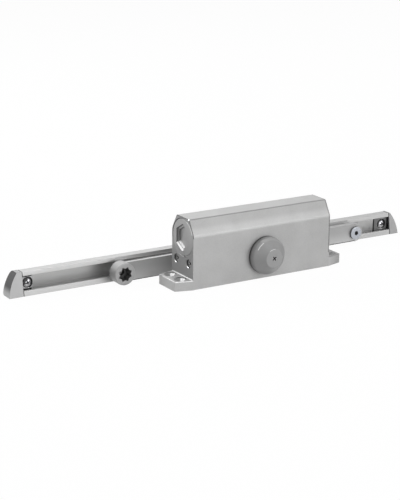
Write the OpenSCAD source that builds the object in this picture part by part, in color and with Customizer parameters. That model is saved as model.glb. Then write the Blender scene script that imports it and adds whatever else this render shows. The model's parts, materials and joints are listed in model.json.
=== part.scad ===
// Slide arm door closer, laid out as a kit on a flat surface.
// The closer lies on its mounting face, with its spindle along Y.
// The slide track lies behind it, and the arm hangs on the track's sliding shoe.
// Origin: centre of the four fixing holes, on the mounting face.

/* [Housing] */
// Length of the housing between its two end faces
body_l = 151; // [145:1:180]
// Width of the housing along the spindle
body_w = 38; // [37:0.5:42]
// Height of the housing above its mounting face
body_h = 64; // [63:0.5:70]
// Width of the flat along the top
top_flat_w = 21.6; // [16:0.2:24]
// Depth of the side walls' bend below the top
shoulder_drop = 14; // [11:0.5:17]
// Radius of that bend
shoulder_bend_r = 8; // [3:0.5:12]

/* [Mounting flanges] */
// Length of each flange beyond its end face
flange_l = 16.5; // [14:0.5:20]
// Thickness of the flanges
flange_t = 9; // [6:0.5:10]
// Width of a flange at its tip
flange_tip_w = 28.4; // [27:0.2:34]
// Distance of the fixing holes from the end face
fix_hole_out = 7.5; // [7:0.25:9]
// Distance between the two holes of a flange
fix_pitch_y = 18; // [15:0.5:19]
// Diameter of the fixing holes
fix_hole_d = 6; // [5:0.25:6.5]
// Diameter of their countersinks
fix_csk_d = 12.2; // [9.5:0.1:13]

/* [Cylinder and plugs] */
// Bore that the piston runs in
bore_d = 32; // [30:0.25:33]
// Depth of the bore's axis below the top
bore_drop = 19; // [18:0.25:20]
// Thread diameter of the end plugs
plug_d = 34.6; // [34:0.1:36]
// Length of the plug's threaded part
plug_thread_l = 8; // [7:0.5:10]
// Length of the plug's spigot in the bore
plug_spigot_l = 6; // [5:0.5:8]
// Across flats of the hexagon recess at the plug's face
hex_af = 21.4; // [19:0.2:24]
// Depth of that hexagon
hex_depth = 1.3; // [1:0.1:3]
// Across flats of the inner hexagon
hex_step_af = 18.8; // [16:0.2:20.4]
// Depth of the inner hexagon, from the first one's floor
hex_step_depth = 1.8; // [1.5:0.1:4]
// Thickness of the O-rings on the plugs
plug_ring_d = 2.4; // [1.8:0.1:3]

/* [Rack and pinion] */
// Module of the teeth
tooth_m = 2; // [1.9:0.05:2.1]
// Number of pinion teeth
pinion_teeth = 9; // [9:1:9]
// Profile shift of the pinion, as a share of the module
tooth_shift = 0.5; // [0.48:0.01:0.55]
// Tip radius of the pinion
pinion_tip_r = 11.4; // [11:0.1:11.6]
// Width of the pinion
pinion_w = 20; // [16:0.5:22]
// Play between the teeth
tooth_play = 0.16; // [0.12:0.01:0.3]
// Number of spaces between the rack's teeth
rack_spaces = 8; // [8:1:8]
// Height of the rack's tooth tips above the bottom of the bore
rack_inset = 1.4; // [1.2:0.1:1.6]

/* [Piston and springs] */
// Distance from the piston's crown to the spindle axis
piston_crown = 51; // [49:0.5:54]
// Distance from the spindle axis to the piston's skirt end
piston_skirt = 22; // [19:0.5:24]
// Depth of the spring pocket in the skirt
pocket_depth = 9; // [6:0.5:9]
// Outer diameter of the outer spring
spring_d = 24; // [22:0.25:24.5]
// Wire of the outer spring
spring_wire = 3; // [2.4:0.1:3.2]
// Turns of the outer spring
spring_turns = 6; // [5:0.5:6.5]
// Outer diameter of the inner spring
inner_spring_d = 14; // [11:0.25:14.5]
// Wire of the inner spring
inner_spring_wire = 2; // [1.4:0.1:2.2]
// Turns of the inner spring
inner_spring_turns = 9; // [7:0.5:9.5]
// Diameter of the check valve's ball
ball_d = 4; // [3:0.25:5]

/* [Spindle] */
// Place of the spindle along the housing
spindle_x = 2; // [0:0.25:4]
// Diameter of the spindle in its bearings
journal_d = 15; // [14.5:0.25:16]
// Across flats of the spindle's square ends
square_af = 9.4; // [9:0.1:10]
// Diameter over the turned corners of the square ends
square_corner_d = 12.8; // [12:0.1:13.2]
// Reach of the square ends beyond the housing
square_reach = 8.4; // [7.4:0.1:8.5]
// Bore across the housing for the spindle
cross_bore_d = 23.4; // [23.2:0.1:24]
// Diameter of the bearing nuts
nut_d = 28; // [27:0.5:29]
// Depth that a bearing nut is screwed in
nut_depth = 3.2; // [2.8:0.1:3.6]
// Height of a bearing nut above the housing
nut_proud = 1.2; // [0.6:0.1:1.6]
// Outer diameter of the shaft seals
shaft_seal_d = 20; // [19:0.25:21]

/* [Spindle cap] */
// Diameter of the cap at its base
cap_d = 35.6; // [34:0.2:36]
// Height of the cap's straight skirt
cap_skirt = 6.2; // [5:0.1:7]
// Height of the whole cap
cap_h = 15.4; // [14.6:0.1:17]
// Diameter of the flat at the cap's front
cap_flat_d = 18; // [15:0.2:20]
// Wall of the cap
cap_wall = 2.2; // [1.6:0.1:2.6]
// Gap between the cap and the housing
cap_gap = 0.4; // [0.3:0.05:0.6]
// Head diameter of the cap screw
cap_screw_d = 7.6; // [7:0.1:8.4]

/* [Speed valves] */
// Diameter of the valve bores
valve_d = 8; // [7:0.1:8.6]
// Depth of the valves below the bore's axis
valve_drop = 22; // [21.5:0.25:23]
// Distance between the two valves
valve_pitch = 21.6; // [20:0.2:23]
// Depth of the sweep valve's bore
sweep_bore_l = 36; // [34:0.5:40]
// Depth of the latch valve's bore
latch_bore_l = 26; // [24:0.5:26]
// Depth of the screw head below the end face
valve_recess = 2; // [1:0.1:2.4]
// Width of the chamfer round a valve bore's mouth
valve_mouth = 0.5; // [0.2:0.1:0.8]

/* [Arm] */
// Length between the socket and the shoe pivot
arm_l = 265.3; // [220:0.1:300]
// Width of the arm
arm_w = 18.4; // [17:0.2:19.6]
// Thickness of the arm
arm_t = 5.5; // [4.5:0.25:6]
// Front face of the arm, from the spindle plane
arm_y = 30.4; // [30.2:0.1:31]
// Diameter of the socket boss
boss_d = 20.8; // [18.4:0.2:21]
// Height of the socket boss above the arm
boss_h = 6.2; // [4:0.1:6.6]
// Across flats of the double square socket
socket_af = 9.6; // [9.2:0.05:10]
// Depth of the socket
socket_depth = 8.2; // [7:0.1:9]
// Turn of the socket's first square
socket_turn = 22.5; // [0:0.5:44.5]
// Hole for the arm's clamping screw
arm_screw_hole_d = 6.4; // [5:0.1:7]

/* [Shoe pivot] */
// Distance of the shoe pivot from the rail's right end
pivot_in = 52.8; // [45:0.2:80]
// Shank diameter of the pivot screw
pivot_screw_d = 6; // [5:0.25:6.5]
// Head diameter of the pivot screw
pivot_head_d = 12.8; // [11:0.1:14]
// Head height of the pivot screw
pivot_head_h = 2.4; // [2:0.1:3]
// Outer diameter of the pivot bush
bush_d = 10; // [9:0.1:11]
// Thickness of the pivot washer
washer_t = 0.8; // [0.5:0.05:1]
// Length of the sliding shoe
shoe_l = 32; // [26:0.5:36]

/* [Slide track] */
// Length of the extruded rail
rail_l = 411.4; // [380:0.1:440]
// Left end of the rail
rail_x = -214.6; // [-240:0.2:-200]
// Front edge of the rail's foot, from the spindle plane
rail_y = 40.2; // [40:0.2:50]
// Height of the rail
rail_h = 21.8; // [21.4:0.1:24]
// Depth of the rail at its foot
rail_depth = 14.6; // [14:0.1:16]
// Lean of the rail's front
rail_lean = 8.5; // [5:0.5:10]
// Radius of the rail's rear edges
rail_edge_r = 3; // [1:0.25:4]
// Wall of the rail's foot
rail_foot_wall = 2.6; // [2:0.1:3]
// Top and back walls of the rail
rail_wall = 1.7; // [1.4:0.1:2]
// Thickness of the lips
lip_t = 2.2; // [1.6:0.1:2.4]
// Lower edge of the slot
slot_low = 5; // [4.8:0.1:6]
// Upper edge of the slot
slot_high = 18.1; // [18:0.1:18.8]
// Play of the shoe and the blocks in the rail
rail_play = 0.3; // [0.2:0.05:0.4]

/* [Track ends] */
// Length of the left cap at its foot
cap_left_l = 13.8; // [13:0.1:15]
// Length of the right cap at its foot
cap_right_l = 10.2; // [9.8:0.1:15]
// Run of a cap's side, from its foot to its top
cap_run = 8.8; // [8:0.1:9.2]
// Radius of the cap's bulged side
cap_side_r = 39; // [32:0.5:60]
// Wall at the end of a cap
cap_end_wall = 1.6; // [1.2:0.1:1.8]
// Height of the caps above the rail's top and front
cap_proud = 0.2; // [0.1:0.05:0.6]
// Joint between a cap and the rail
cap_joint = 0.35; // [0.2:0.05:0.4]
// Length of the left fixing block
block_left_l = 15; // [12:0.2:15.4]
// Length of the right fixing block
block_right_l = 15.6; // [13:0.2:16]
// Height of the left fixing block
block_left_h = 10.8; // [10.7:0.1:14]
// Inner end of the left block, from the rail's left end
block_left_in = 11; // [10.6:0.1:14]
// Inner end of the right block, from the rail's right end
block_right_in = 16.7; // [16.4:0.1:19]
// Distance of the screw from the left block's right end
screw_left_in = 5.3; // [5.3:0.1:6]
// Distance of the screw from the right block's right end
screw_right_in = 6.2; // [5.5:0.1:7]
// Thickness of a block's front plate
block_plate_t = 2.6; // [2.4:0.1:3]
// Thread diameter of the fixing screws
fix_screw_d = 4.8; // [4:0.1:5]
// Head diameter of the fixing screws
fix_head_d = 8; // [7:0.1:8.4]
// Head height of the fixing screws
fix_head_h = 2.8; // [2.4:0.1:3.2]
// Depth of the recess that the head sits in
fix_recess = 1.6; // [1:0.1:2]
// Width of the gap round the head in that recess
fix_recess_gap = 1; // [0.5:0.1:1.2]

/* [Fits] */
// Radial clearance of running fits
run_fit = 0.05; // [0.03:0.01:0.08]
// Radial clearance of parts that are screwed or pressed together
seat_fit = 0.05; // [0.03:0.01:0.1]
// Gap between faces that turn or slide past each other
face_gap = 0.3; // [0.2:0.05:0.4]

/* [Hidden] */

$fn = 64;
eps = 0.01;
cut = 1;

// Housing
arc_steps = 8;
body_r = body_w / 2;
body_end = body_l / 2;
bore_z = body_h - bore_drop;
valve_z = bore_z - valve_drop;
shoulder_run = body_r - top_flat_w / 2;
shoulder_turn = atan2(shoulder_run, shoulder_drop);
fix_x = body_end + fix_hole_out;
fix_csk_depth = (fix_csk_d - fix_hole_d) / 2;

// Rack and pinion: the rack's reference line lies one profile shift outside the pitch circle
pitch_r = tooth_m * pinion_teeth / 2;
tooth_pitch = PI * tooth_m;
pressure = 20;
base_r = pitch_r * cos(pressure);
root_gap = 0.5;
root_foot = 0.9;
rack_root_rise = pinion_tip_r + root_gap - pitch_r - tooth_shift * tooth_m;
pinion_root_r = pitch_r - tooth_m * (1.25 - tooth_shift);
rack_tip_z = bore_z - bore_d / 2 + rack_inset;
rack_line_z = rack_tip_z + tooth_m;
spindle_z = rack_line_z - pitch_r - tooth_shift * tooth_m;
rack_root_z = rack_line_z + rack_root_rise;
rack_first = -6;
rack_start_x = spindle_x + (rack_first - 0.75) * tooth_pitch;
rack_end_x = spindle_x + (rack_first + rack_spaces - 0.1) * tooth_pitch;

// Piston and springs
piston_d = bore_d - 2 * run_fit;
crown_x = spindle_x - piston_crown;
skirt_x = spindle_x + piston_skirt;
pocket_x = skirt_x - pocket_depth;
pocket_d = spring_d + 1;
plug_inner = body_end - plug_thread_l - plug_spigot_l;
spring_end_gap = 0.2;
spring_x0 = pocket_x + spring_end_gap;
spring_x1 = plug_inner - spring_end_gap;
end_coil_gap = 0.45;
ball_play = 0.3;
ball_seat_l = ball_d + 4.2;
oil_way_d = ball_d / 2;
retainer_d = ball_d + 1.4;
retainer_l = 2;

// Plugs
stake_d = 1.8;
stake_depth = 0.6;
stake_turn = 12;
spigot_d = bore_d - 2 * seat_fit;
plug_ring_at = plug_thread_l + plug_spigot_l / 2;
groove_share = 1.2;

// Spindle and cap, on the axis through spindle_x and spindle_z
bearing_gap = 0.2;
nut_floor = body_r - nut_depth;
bearing_y = bearing_gap + sqrt(pow(bore_d / 2, 2) - pow(bore_z - spindle_z - cross_bore_d / 2, 2));
bearing_l = nut_floor - bearing_y;
nut_slot_w = 3;
square_start = body_r + nut_proud + face_gap;
square_end = body_r + square_reach;
square_play = 0.1;
end_thread_d = 5;
end_thread_l = 7.5;
cap_y = body_r + cap_gap;
cap_front = cap_y + cap_h;
cap_soft_r = 1.2;
cap_hub_d = square_corner_d + 4;
cap_hub_start = square_start - cap_y;
cap_hub_hole = square_end - cap_y + bearing_gap;
cap_screw_csk = 1.6;
cap_screw_sunk = 0.1;
cap_screw_l = 12;
cap_screw_cross = 3.6;

// Valves
valve_head_l = 7;
valve_shaft_d = valve_d - 2 * run_fit;
valve_neck_d = valve_d * 0.6;
valve_ring_d = 1.4;
valve_ring_space = 1.8;
valve_collar_l = 2;
valve_tip_l = 5;
valve_tip_d = 1;
valve_seat_gap = 0.2;
port_d = 2.4;

// Arm and pivot
rail_end = rail_x + rail_l;
pivot_x = rail_end - pivot_in;
slot_z = (slot_low + slot_high) / 2;
boss_z = boss_d / 2;
arm_droop = asin((slot_z - boss_z) / arm_l);
arm_back = arm_y + arm_t;
bush_y0 = arm_y - face_gap;
bush_y1 = arm_back + face_gap;
washer_y1 = bush_y1 + washer_t;
pivot_head_y = bush_y0 - pivot_head_h;
collar_d = slot_high - slot_low - 2 * rail_play;
pivot_screw_end = 3;
pivot_hole_end = 2.5;
pivot_edge = 0.4;
pivot_key_af = 4;
pivot_key_depth = 1.9;
boss_edge = 0.7;

// Rail section, as [y, z] from the front edge of the foot
function front_y(z) = z * tan(rail_lean);
cavity_low = rail_foot_wall;
cavity_high = rail_h - rail_wall;
cavity_back = rail_depth - rail_wall;
shoe_low = cavity_low + rail_play;
shoe_high = cavity_high - rail_play;
shoe_front = front_y(shoe_high) + lip_t + rail_play;
shoe_back = cavity_back - rail_play;
block_left_x = rail_x + block_left_in - block_left_l;
block_right_x = rail_end - block_right_in;
block_left_screw = block_left_x + block_left_l - screw_left_in;
block_right_screw = block_right_x + block_right_l - screw_right_in;
block_recess_d = fix_head_d + 2 * fix_recess_gap;
block_boss_d = block_recess_d + 0.6;
fix_z = rail_h / 2;
block_right_h = 2 * (fix_z - shoe_low);

// Points of an arc in degrees
function arc(cx, cy, r, from, to, n) =
    [for (i = [0:n]) let (a = from + (to - from) * i / n) [cx + r * cos(a), cy + r * sin(a)]];

// Centre of the shoulder's bend, tangent to the wall and to the slant
bend_back = shoulder_bend_r * tan(shoulder_turn / 2);
bend_cy = body_h - shoulder_drop - bend_back;
bend_cx = body_r - shoulder_bend_r;

function housing_outline() = concat(
    [[-body_r, 0], [body_r, 0]],
    arc(bend_cx, bend_cy, shoulder_bend_r, 0, shoulder_turn, arc_steps),
    [[top_flat_w / 2, body_h], [-top_flat_w / 2, body_h]],
    arc(-bend_cx, bend_cy, shoulder_bend_r, 180 - shoulder_turn, 180, arc_steps));

// A shape on the spindle axis, drawn along Z and pointing to the front (-Y)
module on_spindle(front) {
    translate([spindle_x, 0, spindle_z])
        rotate([front ? 90 : -90, 0, 0])
            children();
}

// A shape drawn along Z, turned to point along X into the housing from one end
module from_end(side) {
    mirror([side > 0 ? 1 : 0, 0, 0])
        translate([-body_end, 0, 0])
            rotate([0, 90, 0])
                children();
}

module hexagon(af, depth) {
    cylinder(d = af / cos(30), h = depth, $fn = 6);
}

module ring(outer_d, inner_d, h) {
    difference() {
        cylinder(d = outer_d, h = h);
        translate([0, 0, -cut])
            cylinder(d = inner_d, h = h + 2 * cut);
    }
}

// An O-ring flush with a shaft, and the groove that holds it
module o_ring(shaft_d, wire_d) {
    rotate_extrude()
        translate([(shaft_d - wire_d) / 2, 0])
            circle(d = wire_d, $fn = 24);
}

module ring_groove(shaft_d, wire_d) {
    difference() {
        cylinder(d = shaft_d + 2 * cut, h = wire_d * groove_share, center = true);
        cylinder(d = shaft_d - 2 * wire_d - 2 * seat_fit, h = wire_d * groove_share + cut, center = true);
    }
}

// Cross recess of a screw, cut from Z = 0 downwards
module cross_recess(size, depth) {
    slot_w = size * 0.26;
    for (a = [0, 90])
        rotate([0, 0, a])
            translate([-size / 2, -slot_w / 2, -depth])
                cube([size, slot_w, depth + cut]);
}

// Helix tube along Z: end turns lie close, and the others share the rest of the length
function spring_rise(t, n, wire, len) =
    let (close = wire + end_coil_gap, open = (len - wire - 2 * close) / (n - 2))
    t < 1 ? t * close :
    t < n - 1 ? close + (t - 1) * open :
    close + (n - 2) * open + (t - n + 1) * close;

module spring(outer_d, wire, n, len, steps, sides) {
    mean_r = (outer_d - wire) / 2;
    rings = floor(n * steps);
    points = [for (i = [0:rings], k = [0:sides - 1])
        let (t = i / steps, a = 360 * t, b = 360 * k / sides, r = mean_r + wire / 2 * cos(b))
        [r * cos(a), r * sin(a), wire / 2 + spring_rise(t, rings / steps, wire, len) + wire / 2 * sin(b)]];
    walls = [for (i = [0:rings - 1], k = [0:sides - 1])
        let (a = i * sides + k, b = i * sides + (k + 1) % sides)
        each [[a, b, b + sides], [a, b + sides, a + sides]]];
    first_end = [[for (k = [0:sides - 1]) sides - 1 - k]];
    last_end = [[for (k = [0:sides - 1]) rings * sides + k]];
    polyhedron(points = points, faces = concat(walls, first_end, last_end), convexity = 12);
}

// One flank of a pinion tooth as an involute, from the root to the tip, with Y across the tooth
function involute_angle(r) = let (c = acos(min(1, base_r / r))) tan(c) * 180 / PI - c;
half_tooth = 90 / pinion_teeth * (1 + 4 * tooth_shift * tan(pressure) / PI)
    + involute_angle(pitch_r) - tooth_play / 2 / pitch_r * 180 / PI;
function flank(side) = [for (i = [0:arc_steps])
    let (r = max(base_r, pinion_root_r) + (pinion_tip_r - max(base_r, pinion_root_r)) * i / arc_steps,
         a = side * (half_tooth - involute_angle(r)))
    [r * sin(a), r * cos(a)]];
function reversed(v) = [for (i = [len(v) - 1:-1:0]) v[i]];

module pinion_tooth() {
    foot = pinion_root_r * root_foot * [sin(half_tooth), cos(half_tooth)];
    polygon(concat([[-foot[0], foot[1]]], flank(-1), reversed(flank(1)), [foot]));
}

// Space between two rack teeth, in X and Z, centred on X = 0
module rack_space() {
    low = rack_tip_z - cut;
    half = tooth_pitch / 4;
    low_half = half + (rack_line_z - low) * tan(pressure);
    high_half = half - (rack_root_z - rack_line_z) * tan(pressure);
    polygon([[-low_half, low], [low_half, low], [high_half, rack_root_z], [-high_half, rack_root_z]]);
}

module flange_holes() {
    for (sx = [-1, 1], sy = [-1, 1])
        translate([sx * fix_x, sy * fix_pitch_y / 2, 0]) {
            translate([0, 0, -cut])
                cylinder(d = fix_hole_d, h = flange_t + 2 * cut);
            translate([0, 0, flange_t - fix_csk_depth])
                cylinder(d1 = fix_hole_d, d2 = fix_csk_d, h = fix_csk_depth + eps);
        }
}

module flange(side) {
    tip = body_end + flange_l;
    linear_extrude(height = flange_t)
        polygon([[side * (body_end - cut), -body_r], [side * body_end, -body_r],
                 [side * tip, -flange_tip_w / 2], [side * tip, flange_tip_w / 2],
                 [side * body_end, body_r], [side * (body_end - cut), body_r]]);
}

// Bore of a speed valve, its port up into the cylinder, and the return way to the spindle
module valve_bore(side_y, bore_l) {
    bore_end = bore_l - body_end;
    translate([-body_end - cut, side_y, valve_z])
        rotate([0, 90, 0])
            cylinder(d = valve_d, h = bore_l + cut);
    translate([-body_end - eps, side_y, valve_z])
        rotate([0, 90, 0])
            cylinder(d1 = valve_d + 2 * valve_mouth, d2 = valve_d, h = valve_mouth);
    translate([bore_end - valve_tip_l, side_y, valve_z])
        cylinder(d = port_d, h = bore_z - valve_z);
    translate([bore_end - eps, side_y, valve_z])
        rotate([0, 90, 0])
            cylinder(d = port_d, h = spindle_x - bore_end);
}

module closer_body() {
    color("silver")
    difference() {
        union() {
            rotate([90, 0, 90])
                linear_extrude(height = body_l, center = true)
                    polygon(housing_outline());
            flange(-1);
            flange(1);
        }
        translate([-body_end - cut, 0, bore_z])
            rotate([0, 90, 0])
                cylinder(d = bore_d, h = body_l + 2 * cut);
        for (side = [-1, 1])
            from_end(side)
                translate([-bore_z, 0, 0]) {
                    translate([0, 0, -cut])
                        cylinder(d = plug_d + 2 * seat_fit, h = plug_thread_l + cut);
                    stake_mark();
                }
        translate([spindle_x, -body_r - cut, spindle_z])
            rotate([-90, 0, 0])
                cylinder(d = cross_bore_d, h = body_w + 2 * cut);
        for (front = [true, false])
            on_spindle(front)
                translate([0, 0, body_r - nut_depth])
                    cylinder(d = nut_d + 2 * seat_fit, h = nut_depth + cut);
        valve_bore(valve_pitch / 2, sweep_bore_l);
        valve_bore(-valve_pitch / 2, latch_bore_l);
        flange_holes();
    }
}

// Punch mark across a plug's rim, which keeps the plug from turning
module stake_mark() {
    rotate([0, 0, -stake_turn])
        translate([plug_d / 2, 0, -cut])
            cylinder(d = stake_d, h = stake_depth + cut);
}

module end_plug(side) {
    color("lightgray")
    from_end(side)
        translate([-bore_z, 0, 0])
            difference() {
                union() {
                    cylinder(d = plug_d, h = plug_thread_l);
                    cylinder(d = spigot_d, h = plug_thread_l + plug_spigot_l);
                }
                translate([0, 0, -cut])
                    hexagon(hex_af, hex_depth + cut);
                hexagon(hex_step_af, hex_depth + hex_step_depth);
                stake_mark();
                translate([0, 0, plug_ring_at])
                    ring_groove(spigot_d, plug_ring_d);
            }
}

module plug_ring(side) {
    color("dimgray")
    from_end(side)
        translate([-bore_z, 0, plug_ring_at])
            o_ring(spigot_d, plug_ring_d);
}

module piston() {
    color("slategray")
    difference() {
        translate([crown_x, 0, bore_z])
            rotate([0, 90, 0])
                cylinder(d = piston_d, h = skirt_x - crown_x);
        translate([pocket_x, 0, bore_z])
            rotate([0, 90, 0])
                cylinder(d = pocket_d, h = pocket_depth + cut);
        translate([rack_start_x, -body_r, 0])
            cube([rack_end_x - rack_start_x, body_w, rack_tip_z]);
        translate([0, body_r, 0])
            rotate([90, 0, 0])
                linear_extrude(height = body_w)
                    for (i = [0:rack_spaces - 1])
                        translate([spindle_x + (rack_first + i) * tooth_pitch, 0])
                            rack_space();
        translate([crown_x, 0, bore_z])
            rotate([0, 90, 0]) {
                translate([0, 0, -cut])
                    cylinder(d = retainer_d, h = retainer_l + cut);
                cylinder(d = ball_d + ball_play, h = ball_seat_l);
                cylinder(d = oil_way_d, h = skirt_x - crown_x);
            }
    }
}

module check_ball() {
    color("gainsboro")
    translate([crown_x + ball_seat_l - ball_d / 2, 0, bore_z])
        sphere(d = ball_d);
}

module ball_retainer() {
    color("gold")
    translate([crown_x, 0, bore_z])
        rotate([0, 90, 0])
            ring(retainer_d - 2 * seat_fit, oil_way_d, retainer_l);
}

module outer_spring() {
    color("darkgray")
    translate([spring_x0, 0, bore_z])
        rotate([0, 90, 0])
            spring(spring_d, spring_wire, spring_turns, spring_x1 - spring_x0, 20, 8);
}

module inner_spring() {
    color("gray")
    translate([spring_x0, 0, bore_z])
        rotate([0, 90, 0])
            spring(inner_spring_d, inner_spring_wire, inner_spring_turns, spring_x1 - spring_x0, 16, 6);
}

// Square end of the spindle, with its corners turned off and a threaded hole
module square_end_piece() {
    intersection() {
        translate([-square_af / 2, -square_af / 2, square_start - cut])
            cube([square_af, square_af, square_end - square_start + cut]);
        cylinder(d = square_corner_d, h = square_end + cut);
    }
}

module spindle() {
    color("dimgray")
    difference() {
        union() {
            translate([spindle_x, 0, spindle_z])
                rotate([90, 0, 0])
                    linear_extrude(height = pinion_w, center = true)
                        for (i = [0:pinion_teeth - 1])
                            rotate([0, 0, i * 360 / pinion_teeth])
                                pinion_tooth();
            on_spindle(true)
                cylinder(r = pinion_root_r, h = pinion_w, center = true);
            for (front = [true, false])
                on_spindle(front) {
                    translate([0, 0, pinion_w / 2 - eps])
                        cylinder(d = journal_d, h = square_start - pinion_w / 2 + eps);
                    square_end_piece();
                }
        }
        for (front = [true, false])
            on_spindle(front)
                translate([0, 0, square_end - end_thread_l])
                    cylinder(d = end_thread_d, h = end_thread_l + cut);
    }
}

module bearing(front) {
    color("goldenrod")
    on_spindle(front)
        translate([0, 0, bearing_y])
            ring(cross_bore_d - 2 * seat_fit, journal_d + 2 * run_fit, bearing_l);
}

// Ring nut with four spanner slots
module bearing_nut(front) {
    color("gray")
    on_spindle(front)
        translate([0, 0, nut_floor])
            difference() {
                ring(nut_d, shaft_seal_d + 2 * seat_fit, nut_depth + nut_proud);
                for (a = [45:90:315])
                    rotate([0, 0, a])
                        translate([(shaft_seal_d + nut_d) / 4, -nut_slot_w / 2, nut_depth])
                            cube([nut_d / 4, nut_slot_w, nut_proud + cut]);
            }
}

module shaft_seal(front) {
    color("black")
    on_spindle(front)
        translate([0, 0, nut_floor])
            ring(shaft_seal_d, journal_d + 2 * run_fit, nut_depth + nut_proud - bearing_gap);
}

// Half section of the cap, as [radius, height]
module cap_section() {
    r = cap_d / 2;
    flat_r = cap_flat_d / 2;
    slope = atan2(r - flat_r, cap_h - cap_skirt);
    polygon(concat(
        [[0, 0], [r, 0]],
        arc(r - cap_soft_r, cap_skirt - cap_soft_r * tan(slope / 2), cap_soft_r, 0, slope, arc_steps),
        [[flat_r, cap_h], [0, cap_h]]));
}

// Half section of the hollow round the cap's hub
module cap_hollow() {
    inner = cap_d / 2 - cap_wall;
    roof = cap_h - cap_wall;
    polygon([[0, -cut], [inner, -cut], [inner, cap_skirt - cap_soft_r], [cap_flat_d / 2, roof],
             [cap_hub_d / 2, roof], [cap_hub_d / 2, cap_hub_start], [0, cap_hub_start]]);
}

module spindle_cap() {
    hole_d = end_thread_d + 4 * square_play;
    hole_af = square_af + 2 * square_play;
    color("silver")
    on_spindle(true)
        translate([0, 0, cap_y])
            difference() {
                rotate_extrude()
                    cap_section();
                rotate_extrude()
                    cap_hollow();
                translate([-hole_af / 2, -hole_af / 2, 0])
                    cube([hole_af, hole_af, cap_hub_hole]);
                cylinder(d = hole_d, h = cap_h + cut);
                translate([0, 0, cap_h - cap_screw_csk])
                    cylinder(d1 = hole_d, d2 = cap_screw_d + 2 * square_play, h = cap_screw_csk + eps);
            }
}

// Countersunk screw that holds the cap on the spindle
module cap_screw() {
    shank_d = end_thread_d - 2 * seat_fit;
    color("lightgray")
    on_spindle(true)
        translate([0, 0, cap_front - cap_screw_sunk])
            difference() {
                union() {
                    translate([0, 0, -cap_screw_csk + cap_screw_sunk])
                        cylinder(d1 = shank_d, d2 = cap_screw_d, h = cap_screw_csk - cap_screw_sunk);
                    translate([0, 0, -cap_screw_l])
                        cylinder(d = shank_d, h = cap_screw_l - cap_screw_sunk);
                }
                rotate([0, 0, 40])
                    cross_recess(cap_screw_cross, 1);
            }
}

// Speed valve screw: head, O-ring seat, collar, neck and needle tip
module valve(side_y, bore_l) {
    tip = bore_l - valve_recess - valve_seat_gap;
    color("gray")
    translate([-body_end + valve_recess, side_y, valve_z])
        rotate([0, 90, 0])
            difference() {
                union() {
                    cylinder(d = valve_shaft_d, h = valve_head_l);
                    translate([0, 0, valve_head_l + valve_ring_space])
                        cylinder(d = valve_shaft_d, h = valve_collar_l);
                    cylinder(d = valve_neck_d, h = tip - valve_tip_l);
                    translate([0, 0, tip - valve_tip_l - eps])
                        cylinder(d1 = valve_neck_d, d2 = valve_tip_d, h = valve_tip_l);
                }
                rotate([180, 0, 30])
                    cross_recess(valve_neck_d, 1.6);
            }
}

module valve_ring(side_y) {
    color("black")
    translate([-body_end + valve_recess + valve_head_l + valve_ring_space / 2, side_y, valve_z])
        rotate([0, 90, 0])
            o_ring(valve_shaft_d, valve_ring_d);
}

// Parts on the shoe pivot, drawn along Z from the spindle's middle plane to the rear (+Y)
module on_pivot() {
    translate([pivot_x, 0, slot_z])
        rotate([-90, 0, 0])
            children();
}

module arm() {
    color("silver")
    translate([pivot_x, 0, slot_z])
        rotate([0, -arm_droop, 0])
            difference() {
                union() {
                    translate([-arm_l, arm_y, -arm_w / 2])
                        cube([arm_l, arm_t, arm_w]);
                    translate([0, arm_y, 0])
                        rotate([-90, 0, 0])
                            cylinder(d = arm_w, h = arm_t);
                    translate([-arm_l, arm_y - boss_h, 0])
                        rotate([-90, 0, 0]) {
                            cylinder(d1 = boss_d - 2 * boss_edge, d2 = boss_d, h = boss_edge);
                            translate([0, 0, boss_edge])
                                cylinder(d = boss_d, h = boss_h + arm_t - boss_edge);
                        }
                }
                translate([0, arm_y - cut, 0])
                    rotate([-90, 0, 0])
                        cylinder(d = bush_d + 2 * run_fit, h = arm_t + 2 * cut);
                for (a = [0, 45])
                    translate([-arm_l, arm_y - boss_h - cut, 0])
                        rotate([0, socket_turn + a, 0])
                            translate([-socket_af / 2, 0, -socket_af / 2])
                                cube([socket_af, socket_depth + cut, socket_af]);
                translate([-arm_l, arm_y, 0])
                    rotate([-90, 0, 0])
                        cylinder(d = arm_screw_hole_d, h = arm_t + cut);
            }
}

module pivot_screw() {
    color("lightsteelblue")
    on_pivot()
        difference() {
            union() {
                translate([0, 0, pivot_head_y])
                    cylinder(d1 = pivot_head_d - 2 * pivot_edge, d2 = pivot_head_d, h = pivot_edge);
                translate([0, 0, pivot_head_y + pivot_edge])
                    cylinder(d = pivot_head_d, h = pivot_head_h - pivot_edge);
                translate([0, 0, bush_y0 - eps])
                    cylinder(d = pivot_screw_d, h = rail_y + shoe_back - pivot_screw_end - bush_y0);
            }
            translate([0, 0, pivot_head_y - cut])
                rotate([0, 0, 10])
                    hexagon(pivot_key_af, pivot_key_depth + cut);
        }
}

module pivot_bush() {
    color("peru")
    on_pivot()
        translate([0, 0, bush_y0])
            ring(bush_d, pivot_screw_d + 2 * seat_fit, bush_y1 - bush_y0);
}

module pivot_washer() {
    color("gainsboro")
    on_pivot()
        translate([0, 0, bush_y1])
            ring(collar_d, pivot_screw_d + 2 * seat_fit, washer_t);
}

module slide_shoe() {
    color("dimgray")
    difference() {
        union() {
            translate([pivot_x - shoe_l / 2, rail_y + shoe_front, shoe_low])
                cube([shoe_l, shoe_back - shoe_front, shoe_high - shoe_low]);
            on_pivot()
                translate([0, 0, washer_y1])
                    cylinder(d = collar_d, h = rail_y + shoe_front - washer_y1 + cut);
        }
        on_pivot()
            translate([0, 0, washer_y1 - cut])
                cylinder(d = pivot_screw_d + 2 * seat_fit,
                         h = rail_y + shoe_back - pivot_hole_end - washer_y1 + cut);
    }
}

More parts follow.
